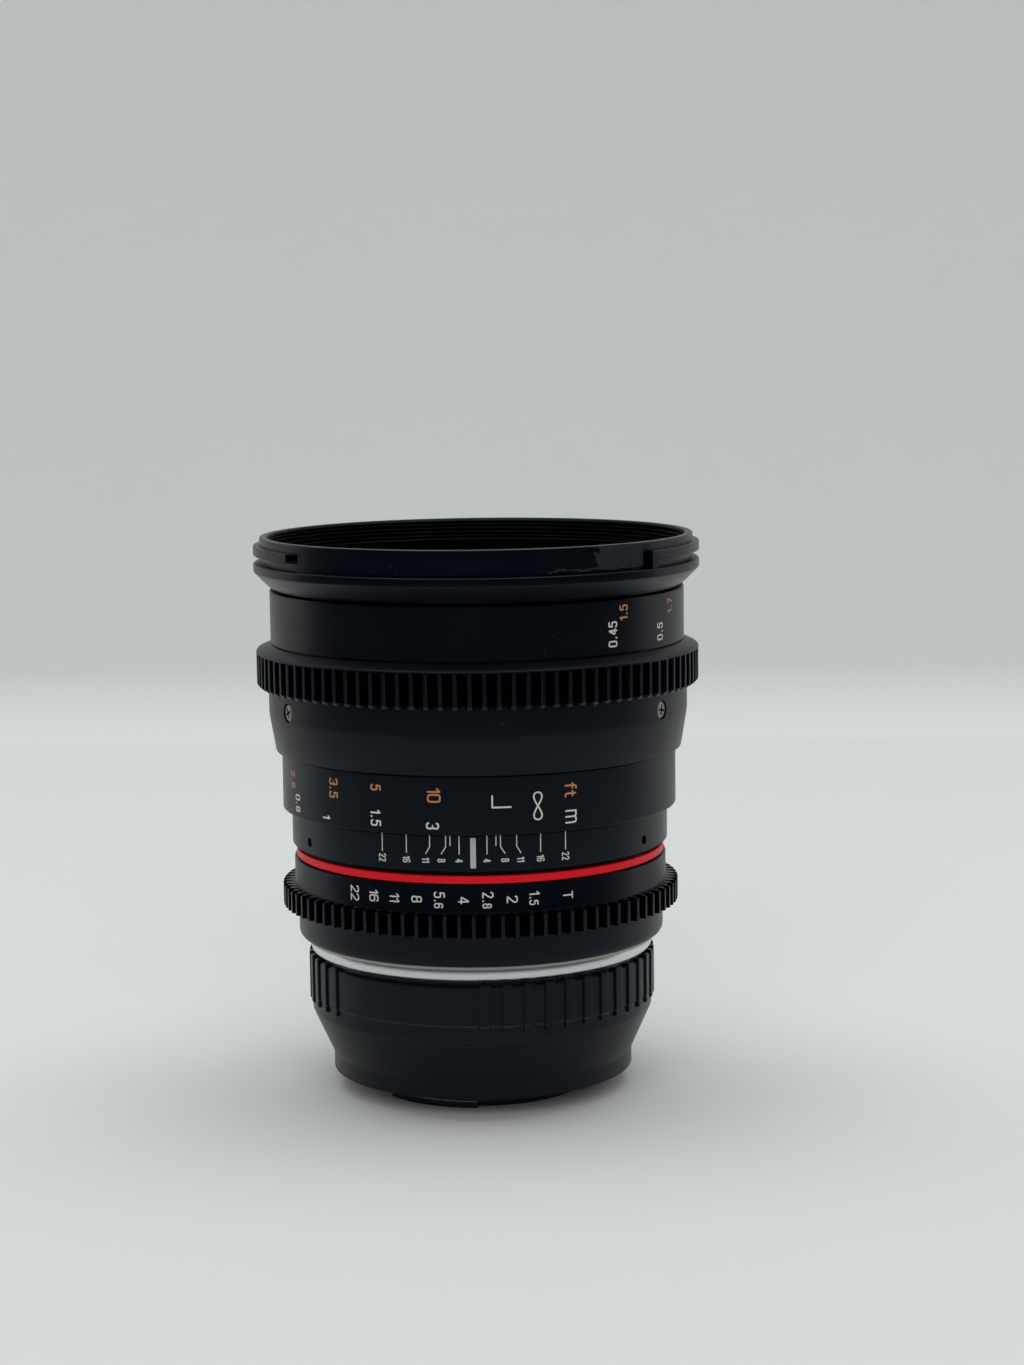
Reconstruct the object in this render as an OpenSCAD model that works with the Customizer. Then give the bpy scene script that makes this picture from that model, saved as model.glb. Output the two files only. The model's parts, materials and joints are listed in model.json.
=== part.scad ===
// Cinema prime lens with geared focus and aperture rings, locked on a bayonet mount adapter.
// Millimetres. +Z points to the front of the lens, the index mark faces -Y,
// and Z = 0 is the plane on which the adapter's claws stand.

/* [Adapter] */
// Length of the camera-side bayonet below the camera flange
claw_len = 3.6; // [3:0.1:4.5]
// Distance from the camera flange to the lens flange
adapter_len = 24.75; // [24:0.05:28]
// Inner radius of the camera-side bayonet tube
throat_r = 18; // [17:0.1:18.6]
// Wall of the camera-side bayonet tube
throat_wall = 1.2; // [1:0.1:1.6]
// Radial reach of the camera-side claws
claw_reach = 1.4; // [0.8:0.1:1.8]
// Thickness of the camera-side claws
claw_thick = 1.5; // [1:0.1:2]
// Angle covered by each camera-side claw
claw_angle = 52; // [40:1:60]
// Thickness of the camera-side mount plate
camera_plate_h = 2.4; // [2:0.1:2.8]
// Radial wall of the adapter's foot around the camera-side plate
foot_wall = 1.46; // [1:0.05:2]
// Height of the adapter's straight foot
foot_h = 3.1; // [2.8:0.1:4]
// Inward step from the adapter's base wall to its foot
foot_step = 3.81; // [2.5:0.05:4.5]
// Height of the conical part
skirt_cone_h = 8.45; // [7:0.05:9]
// Height of the plain band between cone and ribs
plain_band_h = 2.85; // [2:0.05:3.5]
// Open gap between the ribs and the chrome ring
chrome_gap = 0.6; // [0.4:0.05:1]
// Pitch of the grip ribs in degrees
rib_pitch = 7.05; // [6:0.05:10]
// Part of the pitch that a rib takes
rib_share = 0.47; // [0.3:0.01:0.6]
// Height of a rib over the base wall
rib_rise = 0.5; // [0.2:0.05:0.8]
// Depth of the flutes below the base wall
flute_depth = 0.17; // [0.1:0.01:0.5]
// Half angle of the smooth panels
panel_half = 25.5; // [15:0.5:30]
// Centre of the front smooth panel, from the index mark
panel_centre = -24.2; // [-40:0.1:0]
// Depth of the recess for the bayonet ring, below the top of the ribs
shelf_drop = 1.35; // [1.2:0.05:1.5]
// Number of steps of the light trap inside
trap_steps = 6; // [4:1:8]

/* [Lens mount] */
// Height of the visible edge of the lens mount plate
plate_edge = 0.7; // [0.5:0.05:1.2]
// Height of the plate's raised seat inside the rear barrel
plate_seat = 1; // [0.8:0.05:1.4]
// Radial width of the mount plate outside the bayonet tube
plate_reach = 7.06; // [6.5:0.02:8]
// Radial width of the plate's edge outside its raised seat
plate_ledge = 2.67; // [2:0.01:3]
// Inner radius of the bayonet tube of the lens
bayonet_r = 24.6; // [23.5:0.1:24.8]
// Wall of the bayonet tube of the lens
bayonet_wall = 1; // [0.8:0.05:1.1]
// Radial reach of the lens's bayonet tabs
bayonet_reach = 1.2; // [0.8:0.05:1.4]
// Thickness of the lens's bayonet tabs
bayonet_tab_h = 1.5; // [1:0.1:1.8]
// Length of the bayonet tube below its tabs
bayonet_lip = 0.6; // [0.4:0.05:1]
// Angle covered by each bayonet tab
bayonet_angle = 54; // [40:1:58]
// Thickness of the bayonet ring's inward tabs
catch_h = 2.35; // [2:0.05:2.6]
// Height of the chrome edge of the adapter's bayonet ring
chrome_h = 1.9; // [1.4:0.05:2.2]
// Step from the lens mount plate's edge in to the chrome ring
chrome_step = 0.89; // [0.5:0.01:1.2]
// Step from the chrome ring's edge in to its spigot
spigot_step = 1.58; // [1.2:0.01:1.8]
// Thickness of the bayonet springs
spring_leaf = 0.25; // [0.15:0.01:0.35]
// Thickness of the light baffle in the bayonet tube
baffle_h = 1; // [0.6:0.05:1.4]
// Margin of the light baffle round the rear glass
baffle_over = 2; // [1.5:0.1:3]

/* [Lock] */
// Radius of the lock pin
lock_pin_r = 1.2; // [1:0.05:1.3]
// How far the pin enters the lens mount plate
lock_depth = 0.95; // [0.7:0.05:1.2]
// Travel of the release slider
lock_travel = 1.6; // [1.4:0.05:1.8]
// Width of the release slider
slider_w = 8; // [6:0.1:9]
// Height of the release slider
slider_h = 4.4; // [4:0.1:4.8]
// Thickness of the wall above the slider's pocket
pocket_roof = 1.5; // [1:0.05:1.8]
// Thickness of the slider's finger pad
pad_t = 1.3; // [1:0.05:1.8]
// Overlap of the finger pad on each side of the slider
pad_over = 1; // [0.5:0.05:1.5]
// Wire radius of the lock spring
spring_wire = 0.18; // [0.12:0.01:0.2]
// Number of turns of the lock spring
spring_turns = 5; // [4:1:7]
// Depth of the spring's bore below the cone's top
spring_drop = 2.15; // [1.5:0.05:3]

/* [Heights of the lens rings] */
// Height of the rear barrel
rear_h = 5.65; // [5.2:0.05:7]
// Thickness of the rear barrel's inner flange
rear_flange_h = 1.95; // [1.6:0.05:2.2]
// Radius of the rear barrel's rounded lower edge
rear_round = 1.3; // [0.8:0.05:1.5]
// Height of the aperture ring
aperture_h = 9; // [8.6:0.1:10]
// Height of the aperture gear
aperture_gear_h = 4.25; // [3.6:0.05:5]
// Height of the red ring
red_h = 1.4; // [1:0.05:2]
// Height of the groove above the red ring
groove_h = 0.98; // [0.6:0.02:1.5]
// Height of the depth scale ring
depth_h = 6.42; // [6:0.02:7.5]
// Height of the distance scale band
band_h = 10.32; // [9.5:0.02:11]
// Height of the scale band's spigot inside the focus ring
band_spigot_h = 3.45; // [3:0.05:4]
// Height of the focus ring's skirt below the gear
skirt_h = 11.87; // [11.4:0.01:13]
// Height of the cylindrical part of that skirt
skirt_straight_h = 4.87; // [4.4:0.01:6]
// Height of the focus gear
focus_gear_h = 6.33; // [5:0.01:7.5]
// Height of the sloped shoulder above the gear
shoulder_h = 1.6; // [1.2:0.05:2.5]
// Height of the smooth grip above the shoulder
grip_h = 9.8; // [9:0.05:12]
// Height of the fine groove where the grip meets the shoulder
seam_h = 0.22; // [0.15:0.01:0.4]
// Depth of that groove
seam_depth = 0.4; // [0.2:0.05:0.6]

/* [Front ring] */
// Height of the neck above the focus ring
neck_h = 0.6; // [0.5:0.05:0.8]
// Inward step from the grip to the neck
neck_step = 0.78; // [0.5:0.02:1]
// Width of the flat from the neck to the cone
neck_flat = 1; // [0.6:0.05:1.4]
// Height of the front ring's cone
cone_h = 2.8; // [2.4:0.05:3.2]
// Height of the flange above the cone
flange_h = 1.4; // [1:0.05:2]
// Height of the hood bayonet's groove
hood_groove_h = 1.4; // [1:0.05:2]
// Height of the hood bayonet's tabs
hood_tab_h = 1.8; // [1.2:0.05:2.4]
// Height of the lip above the tabs
lip_h = 1.5; // [1:0.05:2]
// Overhang of the flange over the focus ring's grip
flange_over = 2.85; // [2.4:0.05:3.2]
// Radial depth of the hood bayonet
hood_depth = 1.19; // [0.9:0.01:1.5]
// Undercut of the hood bayonet's groove below the lip
hood_under = 0.14; // [0.05:0.01:0.3]
// Half angle of the smooth stretch between the hood bayonet's tabs
hood_gap_half = 53; // [40:1:60]
// Angle of the stop notch on the right
stop_notch = 6; // [4:0.5:8]
// Height of that notch
stop_notch_h = 2.2; // [1.6:0.05:2.6]
// Angle of the shallow entry notch on the left
entry_notch = 4.5; // [3:0.5:6]
// Radial depth of both notches below the lip
notch_depth = 0.6; // [0.3:0.05:0.9]
// Radial wall of the lip at the filter thread
lip_wall = 1.74; // [1.4:0.02:2]
// Length of the filter thread
thread_len = 3.9; // [3:0.05:4.4]
// Width of the ledge behind the filter thread
thread_ledge = 1.2; // [0.8:0.05:1.4]
// Height of the steps inside the front ring
inner_step_h = 0.6; // [0.4:0.05:0.7]
// Width of those steps
inner_step_w = 0.7; // [0.4:0.05:0.8]
// Length of the front ring's socket on the main barrel
socket_h = 2.4; // [2.1:0.05:3]
// Wall of the front ring's lip inside the main barrel's end
socket_wall = 0.6; // [0.4:0.05:0.8]

/* [Focus] */
// Rise of the optics barrel's sliding bands
band_rise = 0.45; // [0.3:0.05:0.6]
// Length of each sliding band
band_len = 4; // [3:0.1:5]
// Wall of the optics barrel
optics_wall = 2.4; // [2:0.05:3]
// Length of the optics barrel in front of the iris
optics_len = 20; // [18.5:0.1:22]
// Wall of the main barrel's tube
tube_wall = 2; // [1.6:0.05:2.4]
// Wall of the focus cam sleeve
sleeve_wall = 1.65; // [1.4:0.05:2]
// Wall of the focus ring at the grip
grip_wall = 2.03; // [1.6:0.01:2.2]
// Wall of the focus ring at the top of the skirt
skirt_wall = 2.56; // [2.3:0.01:3]
// Wall of the focus ring at the bottom of the skirt
skirt_end_wall = 1.46; // [1.2:0.01:2]
// Step from the cam sleeve to the distance scale band
band_step = 0.38; // [0.3:0.01:0.6]
// Advance of the focus cam in a full turn
cam_lead = 17.775; // [16:0.005:18.5]
// Turn from the drawn position to infinity
focus_to_far = 17; // [10:1:20]
// Turn from the drawn position to close focus
focus_to_near = 141; // [120:1:145]
// Height of the cam followers over the iris plate
follower_up = 15; // [13:0.1:16]
// Radius of the cam followers
follower_r = 1.5; // [1.2:0.05:1.6]
// Distance of the focus screws below the gear
focus_screw_drop = 3.1; // [2.5:0.05:3.6]
// Head radius of the focus screws
focus_head_r = 1.6; // [1.4:0.05:2]
// Head height of the focus screws
focus_head_h = 0.78; // [0.5:0.02:1]
// Depth of the focus screws' heads below the skirt
focus_head_sink = 0.12; // [0.05:0.01:0.3]
// Shank radius of the focus screws and set screws
thin_screw_r = 0.83; // [0.6:0.01:1]

/* [Gears] */
// Module of both gears
gear_module = 0.8; // [0.5:0.1:1]
// Least depth from a gear's root to the ring that carries it
gear_root_over = 0.25; // [0.1:0.05:0.4]
// Bevel on the open end of the gears' teeth
tooth_bevel = 0.6; // [0.3:0.05:0.8]
// Rim of the shoulder over the tips of the focus gear
gear_rim = 0.05; // [0.03:0.01:0.1]

/* [Iris] */
// Number of iris blades
blade_count = 8; // [6:1:8]
// Radial width of a blade
blade_w = 6; // [5:0.1:6.2]
// Distance from a blade's outer edge to its pivot
pivot_out = 1.3; // [1:0.05:1.6]
// Thickness of a blade
blade_t = 0.13; // [0.08:0.01:0.2]
// Height from one blade to the next
blade_step = 0.25; // [0.22:0.01:0.3]
// Angle that a blade covers beyond its pivot
blade_reach = 138; // [120:1:140]
// Angle that a blade covers behind its pivot
blade_heel = 8; // [6:0.5:9]
// Distance from a blade's pivot to its drive pin
blade_arm = 5; // [4.5:0.1:5.5]
// Radius of the blades' pins
blade_pin_r = 0.5; // [0.4:0.05:0.6]
// Radius of a blade round its pivot
pivot_boss = 1.4; // [1.2:0.05:1.5]
// Radius of a blade round its drive pin
drive_boss = 1.1; // [0.9:0.05:1.2]
// Turn of the aperture ring from the drawn position to full opening
iris_to_open = 17.5; // [12:0.5:20]
// Turn of the aperture ring from the drawn position to full closing
iris_to_closed = 38.5; // [30:0.5:40]
// Blade turn for each degree of the aperture ring
blade_ratio = 0.6; // [0.5:0.01:0.62]
// Height of the iris plate over the lens flange
iris_up = 35.65; // [35:0.05:36.5]
// Thickness of the iris plate
iris_plate_h = 1.5; // [1.4:0.05:1.8]
// Margin of the iris plate's hole round the full opening
stop_over = 2.3; // [1.8:0.1:2.6]
// Thickness of the cam ring
cam_ring_h = 1.4; // [1.2:0.05:1.6]
// Wall of the cam ring outside its slots
cam_rim = 1.1; // [0.8:0.05:1.3]
// Thickness of the ring that closes the iris chamber
retainer_h = 1.1; // [0.9:0.05:1.4]
// Wall of the iris chamber
chamber_wall = 1.3; // [1:0.05:1.5]
// Thickness of the drive tongue
tongue_t = 1.5; // [1.2:0.05:1.8]
// Width of the drive tongue
tongue_w = 4; // [3:0.1:5]
// Wall of each prong of the aperture fork
fork_wall = 2.2; // [1.8:0.05:2.6]
// Height of the aperture fork
fork_h = 5; // [4.4:0.1:5.4]
// Height of the fork over the lower face of the aperture ring
fork_up = 2.5; // [2:0.1:2.8]
// Depth of the fork's seat in the aperture ring
fork_depth = 1.2; // [1:0.05:1.5]

/* [Lower barrel] */
// Step from the optics' sliding radius in to the lower barrel
low_step = 0.168; // [0.1:0.002:0.5]
// Wall of the main barrel under the aperture ring
low_wall = 1.8; // [1.5:0.05:2.2]
// Wall of the aperture ring at its scale
aperture_wall = 2.33; // [2.2:0.01:2.6]
// Wall of the red ring
red_wall = 1.93; // [1.6:0.01:2.2]
// Step from the lower barrel to the depth ring's shelf
shelf_step = 1; // [0.8:0.05:1.2]
// Wall of the depth scale ring
depth_wall = 1.66; // [1.4:0.01:2]
// Wall of the rear barrel round the lower barrel
rear_wall = 1.758; // [1.5:0.002:2.2]
// Step from the rear barrel in to the mount plate's edge
plate_step = 1.31; // [0.8:0.01:1.6]

/* [Glass radii] */
// Radius of the front element
front_glass_r = 24.5; // [23.6:0.1:25]
// Wall of the front cell
front_cell_wall = 4.9; // [4.4:0.05:5.4]
// Step from the front element in to the second group
second_step = 3.5; // [3.1:0.1:4]
// Radius of the rear groups
rear_glass_r = 17.5; // [17.2:0.05:18]
// Step from the rear groups in to the third group
third_step = 1.5; // [1.1:0.05:1.9]
// Wall of the rear cell
rear_cell_wall = 4; // [3:0.1:5]

/* [Glass depths] */
// Height of the front element's seat over the iris plate
front_seat_up = 15.75; // [15.4:0.05:16.2]
// Depth of the front element's curved face
front_bulge = 6.73; // [6:0.01:7]
// Edge of the front element
front_edge = 2.39; // [2.2:0.01:2.6]
// Depth of the front element's hollow
front_hollow = 2.76; // [2.5:0.01:3]
// Height of the second group's cemented edge over the iris plate
second_joint_up = 7.02; // [6.8:0.01:7.2]
// Depth of the second group's front face
second_bulge = 7.54; // [7.2:0.01:7.8]
// Edge of the second element
second_edge = 1.04; // [0.8:0.01:1.2]
// Depth of the second group's cemented face
second_joint_bulge = 1.58; // [1.4:0.01:1.8]
// Depth of the second group's hollow
third_hollow = 5.5; // [5:0.05:5.8]
// Width of the flat from the iris plate's hole to that hollow
third_flat = 0.5; // [0.3:0.05:0.8]
// Depth of the third group's hollow
fourth_hollow = 5.55; // [5.2:0.01:5.8]
// Width of the flat rim round that hollow
fourth_flat = 0.65; // [0.5:0.05:0.9]
// Thickness of the fourth element on the axis
fourth_centre = 1.4; // [1.2:0.05:1.7]
// Depth of the third group's cemented face
fourth_joint_bulge = 2.17; // [2:0.01:2.4]
// Edge of the fifth element
fifth_edge = 1.69; // [1.4:0.01:2]
// Depth of the fifth element's rear face
fifth_bulge = 3.34; // [3.1:0.01:3.5]
// Depth of the sixth element's front face
sixth_bulge = 1.28; // [1:0.01:1.5]
// Edge of the sixth element
sixth_edge = 1; // [0.8:0.01:1.2]
// Depth of the sixth element's rear face
sixth_back_bulge = 2.22; // [2:0.01:2.4]
// Depth of the fifth group's front face
seventh_bulge = 1.94; // [1.7:0.01:2.2]
// Edge of the seventh element
seventh_edge = 2.88; // [2.6:0.01:3]
// Depth of the fifth group's cemented face
seventh_joint_bulge = 1.72; // [1.5:0.01:1.9]
// Edge of the eighth element
eighth_edge = 2.89; // [2.6:0.01:3]
// Depth of the eighth element's hollow
eighth_hollow = 2.61; // [2.4:0.01:2.8]
// Depth of the rear element's front face
ninth_bulge = 3.16; // [2.9:0.01:3.3]
// Edge of the rear element
ninth_edge = 0.77; // [0.6:0.01:1]
// Depth of the rear element's rear face
ninth_back_bulge = 0.77; // [0.6:0.01:0.9]
// Air between the rear groups
rear_air = 0.5; // [0.4:0.05:0.7]
// Air in front of the rear element
ninth_air = 0.8; // [0.6:0.05:1]
// Recess of the rear element in its cell
rear_recess = 0.4; // [0.3:0.05:0.6]

/* [Clearances and edges] */
// Radial clearance of turning and sliding fits
run_gap = 0.05; // [0.03:0.01:0.08]
// Radial clearance of fixed seats
seat_gap = 0.03; // [0.02:0.01:0.05]
// Axial clearance between turning rings
face_gap = 0.25; // [0.2:0.01:0.3]
// Clearance beside parts that pass freely
free_gap = 0.5; // [0.4:0.05:0.7]
// Clearance of the blades' pins in the cam ring's slots
pin_gap = 0.06; // [0.04:0.01:0.08]
// Small bevel on the rings' edges
edge = 0.2; // [0.1:0.05:0.25]

/* [Name ring] */
// Height of the name ring over the optics barrel
name_ring_h = 7.4; // [6:0.1:8]
// Overlap of the name ring on the front element
name_ring_lip = 0.6; // [0.4:0.05:0.8]
// Width of the name ring's flat top
name_ring_top = 0.8; // [0.6:0.05:1]
// Width of the bevel inside that top
name_ring_bevel = 0.5; // [0.3:0.05:0.7]
// Height of the name ring's foot over the optics barrel
name_ring_foot = 1.6; // [1.4:0.05:2]

/* [Small screws] */
// Shank radius of the mount screws
mount_screw_r = 0.8; // [0.6:0.02:0.9]
// Head radius of the mount screws
mount_head_r = 1.35; // [1.2:0.05:1.5]
// Head height of the mount screws
mount_head_h = 0.85; // [0.6:0.05:0.9]
// Length of the bayonet ring's screws below that ring
lens_screw_len = 3; // [2:0.1:3.4]
// Length of the camera-side screws above their plate
camera_screw_len = 1.8; // [1.2:0.1:2]
// Distance of the camera-side screws from their plate's edge
camera_screw_in = 2.4; // [2:0.05:3]

/* [Hidden] */
$fn = 96;
FINE = 32;
BLADES = [for (i = [1:blade_count]) str("iris_blade_", i)];

// Reach of a cut past the face that it opens, and small overlaps and clearances
cut = 1;
overlap = 0.3;
thread_gap = 0.02;
press_gap = 0.01;
side_gap = 0.2;
slider_gap = 0.1;

// Heights, from the claws up
camera_z = claw_len;
flange_z = camera_z + adapter_len;
plate_z = flange_z + plate_edge;
rear_z = plate_z + rear_h;
aperture_z = rear_z + face_gap;
aperture_top_z = aperture_z + aperture_h;
red_z = aperture_top_z + face_gap;
red_top_z = red_z + red_h;
depth_z = red_top_z + groove_h;
depth_top_z = depth_z + depth_h;
band_z = depth_top_z + face_gap;
band_top_z = band_z + band_h;
skirt_z = band_top_z + face_gap;
focus_gear_z = skirt_z + skirt_h;
shoulder_z = focus_gear_z + focus_gear_h;
grip_z = shoulder_z + shoulder_h;
focus_top_z = grip_z + grip_h;
front_z = focus_top_z + face_gap;
neck_top_z = front_z + neck_h;
flange_low_z = neck_top_z + cone_h;
hood_groove_z = flange_low_z + flange_h;
hood_tab_z = hood_groove_z + hood_groove_h;
lip_z = hood_tab_z + hood_tab_h;
front_top_z = lip_z + lip_h;
ledge_z = front_top_z - thread_len;
barrel_end_z = ledge_z - socket_h;

// Radii, from the front element out to the grip
cell_r = front_glass_r + run_gap + front_cell_wall;
cell_bore = cell_r + run_gap;
optics_r = cell_bore + optics_wall;
slide_r = optics_r + band_rise;
tube_bore = slide_r + run_gap;
tube_r = tube_bore + tube_wall;
sleeve_bore = tube_r + run_gap;
sleeve_r = sleeve_bore + sleeve_wall;
focus_bore = sleeve_r + seat_gap;
grip_r = focus_bore + grip_wall;
skirt_r = focus_bore + skirt_wall;
skirt_end_r = focus_bore + skirt_end_wall;
skirt_edge = 0.3;
band_r = sleeve_r + band_step;
band_bore = tube_r + 8 * run_gap;
spigot_top_z = band_top_z + band_spigot_h;
sleeve_z = spigot_top_z + 2 * run_gap;
sleeve_top_z = focus_top_z - overlap;

// Radii of the front ring
neck_r = grip_r - neck_step;
flange_r = grip_r + flange_over;
lip_r = flange_r - hood_depth;
hood_groove_r = lip_r - hood_under;
thread_r = lip_r - lip_wall;
thread_bevel = 0.4;

// Gears: tooth counts whose roots clear the ring that carries them
pressure_angle = 20;
root_depth = 1.25;
gear_sink = 0.3;
shoulder_bevel_w = 0.2;
shoulder_bevel_h = 0.45;
focus_teeth = ceil(2 * (skirt_r + gear_root_over) / gear_module + 2 * root_depth);
focus_tip_r = gear_module * (focus_teeth + 2) / 2;

// Lower barrel and iris, from the barrel in to the blades' pivots
low_r = slide_r - low_step;
low_bore = low_r - low_wall;
tongue_out_r = low_bore - free_gap - side_gap;
tongue_r = tongue_out_r - tongue_t;
chamber_r = tongue_r - free_gap;
chamber_bore = chamber_r - chamber_wall;
cam_ring_r = chamber_bore - 2 * run_gap;
pin_out_r = cam_ring_r - cam_rim - pin_gap - blade_pin_r;
ring_turn = iris_to_open + iris_to_closed;
blade_turn = ring_turn * blade_ratio;
blade_rest = iris_to_open * blade_ratio;
pivot_r = sqrt(pow(pin_out_r, 2) - pow(blade_arm * cos(blade_turn), 2)) - blade_arm * sin(blade_turn);
blade_out_r = pivot_r - pivot_out;
open_r = blade_out_r - blade_w;
stop_r = open_r + stop_over;
pivot_pin_in = 1;
arm_in = 2.6;
arm_w = 3.5;

// Rings round the lower barrel
aperture_bore = low_r + run_gap;
aperture_r = aperture_bore + aperture_wall;
aperture_teeth = ceil(2 * (aperture_r + gear_root_over) / gear_module + 2 * root_depth);
aperture_root_r = gear_module * (aperture_teeth / 2 - root_depth);
aperture_tip_r = gear_module * (aperture_teeth + 2) / 2;
shelf_r = low_r + shelf_step;
red_r = low_r + seat_gap + red_wall;
depth_r = shelf_r + seat_gap + depth_wall;
depth_screw_z = depth_z + depth_h / 3;
set_screw_in = 0.6;

// Mount end, from the bayonet out; the rear barrel joins it to the lower barrel
bayonet_out_r = bayonet_r + bayonet_wall;
plate_r = bayonet_out_r + plate_reach;
plate_seat_r = plate_r - plate_ledge;
rear_low_r = plate_r + plate_step;
rear_top_r = low_r + seat_gap + rear_wall;
rear_flange_r = bayonet_out_r + 2 * side_gap;
low_z = plate_z + plate_seat + rear_flange_h;
rear_flare_z = low_z - 2 * side_gap;
mount_screw_at = (bayonet_out_r + plate_seat_r) / 2;
tab_top_z = flange_z - catch_h - spring_leaf - run_gap;
tab_z = tab_top_z - bayonet_tab_h;
bayonet_low_z = tab_z - bayonet_lip;

// Iris and focus travel
iris_z = flange_z + iris_up;
blade_top_gap = 0.12;
stack_h = blade_top_gap + (blade_count - 1) * blade_step + blade_t;
cam_ring_top_z = iris_z - stack_h - face_gap;
cam_ring_z = cam_ring_top_z - cam_ring_h;
retainer_top_z = cam_ring_z - face_gap;
chamber_z = retainer_top_z - retainer_h;
barrel_top_z = iris_z + optics_len;
barrel_floor = 1.5;
follower_z = iris_z + follower_up;
follower_tip_r = sleeve_r - side_gap;
travel_far = cam_lead * focus_to_far / 360;
travel_near = cam_lead * focus_to_near / 360;

// Tongue of the cam ring and fork of the aperture ring, opposite the index mark
tongue_at = 180;
tongue_up = 1.4;
tongue_z = low_z + travel_far + tongue_up;
fork_z = aperture_z + fork_up;
fork_w = tongue_w + 2 * run_gap + 2 * fork_wall;
fork_r = aperture_bore + fork_depth;
window_gap = 0.4;
window_turn = 2;

// Adapter
catch_bore = bayonet_out_r + bayonet_reach + side_gap;
catch_tab_bore = bayonet_out_r + side_gap;
chrome_r = plate_r - chrome_step;
chrome_z = flange_z - chrome_h;
base_r = chrome_r - press_gap;
foot_r = base_r - foot_step;
foot_top_z = camera_z + foot_h;
cone_top_z = foot_top_z + skirt_cone_h;
rib_z = cone_top_z + plain_band_h;
rib_top_z = chrome_z - chrome_gap;
rib_r = base_r + rib_rise;
flute_r = base_r - flute_depth;
camera_plate_r = foot_r - foot_wall;
camera_screw_at = camera_plate_r - camera_screw_in;
shelf_z = rib_top_z - shelf_drop;
spigot_r = chrome_r - spigot_step;
wall_bore = catch_bore + overlap;
trap_low_z = camera_z + camera_plate_h + 3 * side_gap;
trap_r = throat_r + throat_wall + 4 * side_gap;
lock_at = 180;
lock_pin_at = (catch_bore + spigot_r) / 2;
pin_hole_r = lock_pin_r + run_gap;
pocket_top_z = shelf_z - pocket_roof;
slider_z = pocket_top_z - slider_h - 2 * side_gap;
pocket_z = slider_z - lock_travel - overlap;
spring_z = cone_top_z - spring_drop;
index_hole_at = 100;
index_hole_r = 1.3;

// Heights of the glass faces, and their radii of curvature from depth and glass radius
rim_flat = 0.2;
second_glass_r = front_glass_r - second_step;
third_glass_r = rear_glass_r - third_step;
third_hollow_r = stop_r - third_flat;
fourth_hollow_r = third_glass_r - fourth_flat;
front_seat_z = iris_z + front_seat_up;
front_rim_z = front_seat_z + seat_gap;
front_back_z = front_rim_z + front_hollow;
front_vertex_z = front_rim_z + front_edge + front_bulge;
second_seat_z = iris_z + iris_plate_h;
second_rim_z = iris_z + second_joint_up;
second_joint_z = second_rim_z + second_joint_bulge;
second_vertex_z = second_rim_z + second_edge + second_bulge;
third_back_z = second_seat_z + third_hollow;
third_lip_h = 0.85;
third_rim_z = chamber_z - third_lip_h;
fourth_z = third_rim_z - fourth_hollow;
fourth_joint_z = fourth_z - fourth_centre;
fourth_rim_z = fourth_joint_z - fourth_joint_bulge;
fifth_back_z = fourth_rim_z - fifth_edge - fifth_bulge;
rear_step_in = 0.44;
rear_step_z = fifth_back_z + fifth_bulge - rear_step_in;
sixth_z = fifth_back_z - rear_air;
sixth_back_z = sixth_z - sixth_bulge - sixth_edge - sixth_back_bulge;
seventh_z = sixth_back_z - rear_air;
seventh_rim_z = seventh_z - seventh_bulge - seventh_edge;
seventh_joint_z = seventh_rim_z + seventh_joint_bulge;
eighth_rim_z = seventh_rim_z - eighth_edge;
eighth_back_z = eighth_rim_z + eighth_hollow;
ninth_z = eighth_back_z - ninth_air;
ninth_back_z = ninth_z - ninth_bulge - ninth_edge - ninth_back_bulge;
rear_end_z = ninth_back_z - rear_recess;
rear_cell_r = rear_glass_r + rear_cell_wall;
front_curve = curve(front_glass_r, front_bulge);
front_back_curve = curve(front_glass_r - rim_flat, front_hollow);
second_curve = curve(second_glass_r, second_bulge);
second_joint_curve = curve(second_glass_r - rim_flat, second_joint_bulge);
third_back_curve = curve(third_hollow_r, third_hollow);
fourth_curve = curve(fourth_hollow_r, fourth_hollow);
fourth_joint_curve = curve(third_glass_r - rim_flat, fourth_joint_bulge);
fifth_back_curve = curve(third_glass_r, fifth_bulge);
sixth_curve = curve(rear_glass_r, sixth_bulge);
sixth_back_curve = curve(rear_glass_r, sixth_back_bulge);
seventh_curve = curve(rear_glass_r, seventh_bulge);
seventh_joint_curve = curve(rear_glass_r - rim_flat, seventh_joint_bulge);
eighth_back_curve = curve(rear_glass_r - rim_flat, eighth_hollow);
ninth_curve = curve(rear_glass_r, ninth_bulge);
ninth_back_curve = curve(rear_glass_r, ninth_back_bulge);
front_retainer_w = 1.4;
spacer_w = 1;
spacer_lip = 0.4;
rear_retainer_w = 1.9;
third_lip_w = 1.1;
rear_flange_rim = 1;

// Angles of screws, followers, claws and tabs, from the index mark
focus_screw_z = focus_gear_z - focus_screw_drop;
THIRDS = [-60, 60, 180];
QUARTERS = [45, 135, 225, 315];
FOLLOWERS = [90, 210, 330];
CLAWS = [-27, 93, 213];
TABS = [0, 120, 240];

// Colours
BLACK = [0.07, 0.08, 0.10];
SATIN = [0.13, 0.14, 0.16];
BRASS = [0.62, 0.52, 0.30];
STEEL = [0.62, 0.62, 0.60];
CHROME = [0.78, 0.78, 0.78];
RED = [0.70, 0.11, 0.15];
GLASS = [0.55, 0.70, 0.72, 0.5];

// Point at a radius and an angle, the angle counted from the index mark towards +X
function at(r, a) = [r * sin(a), -r * cos(a)];
// Radius of a sphere that is the given depth deep at radius r
function curve(r, depth) = (r * r + depth * depth) / (2 * depth);
// Depth of a spherical face at radius r
function sag(curve_r, r) = curve_r - sqrt(curve_r * curve_r - r * r);
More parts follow.
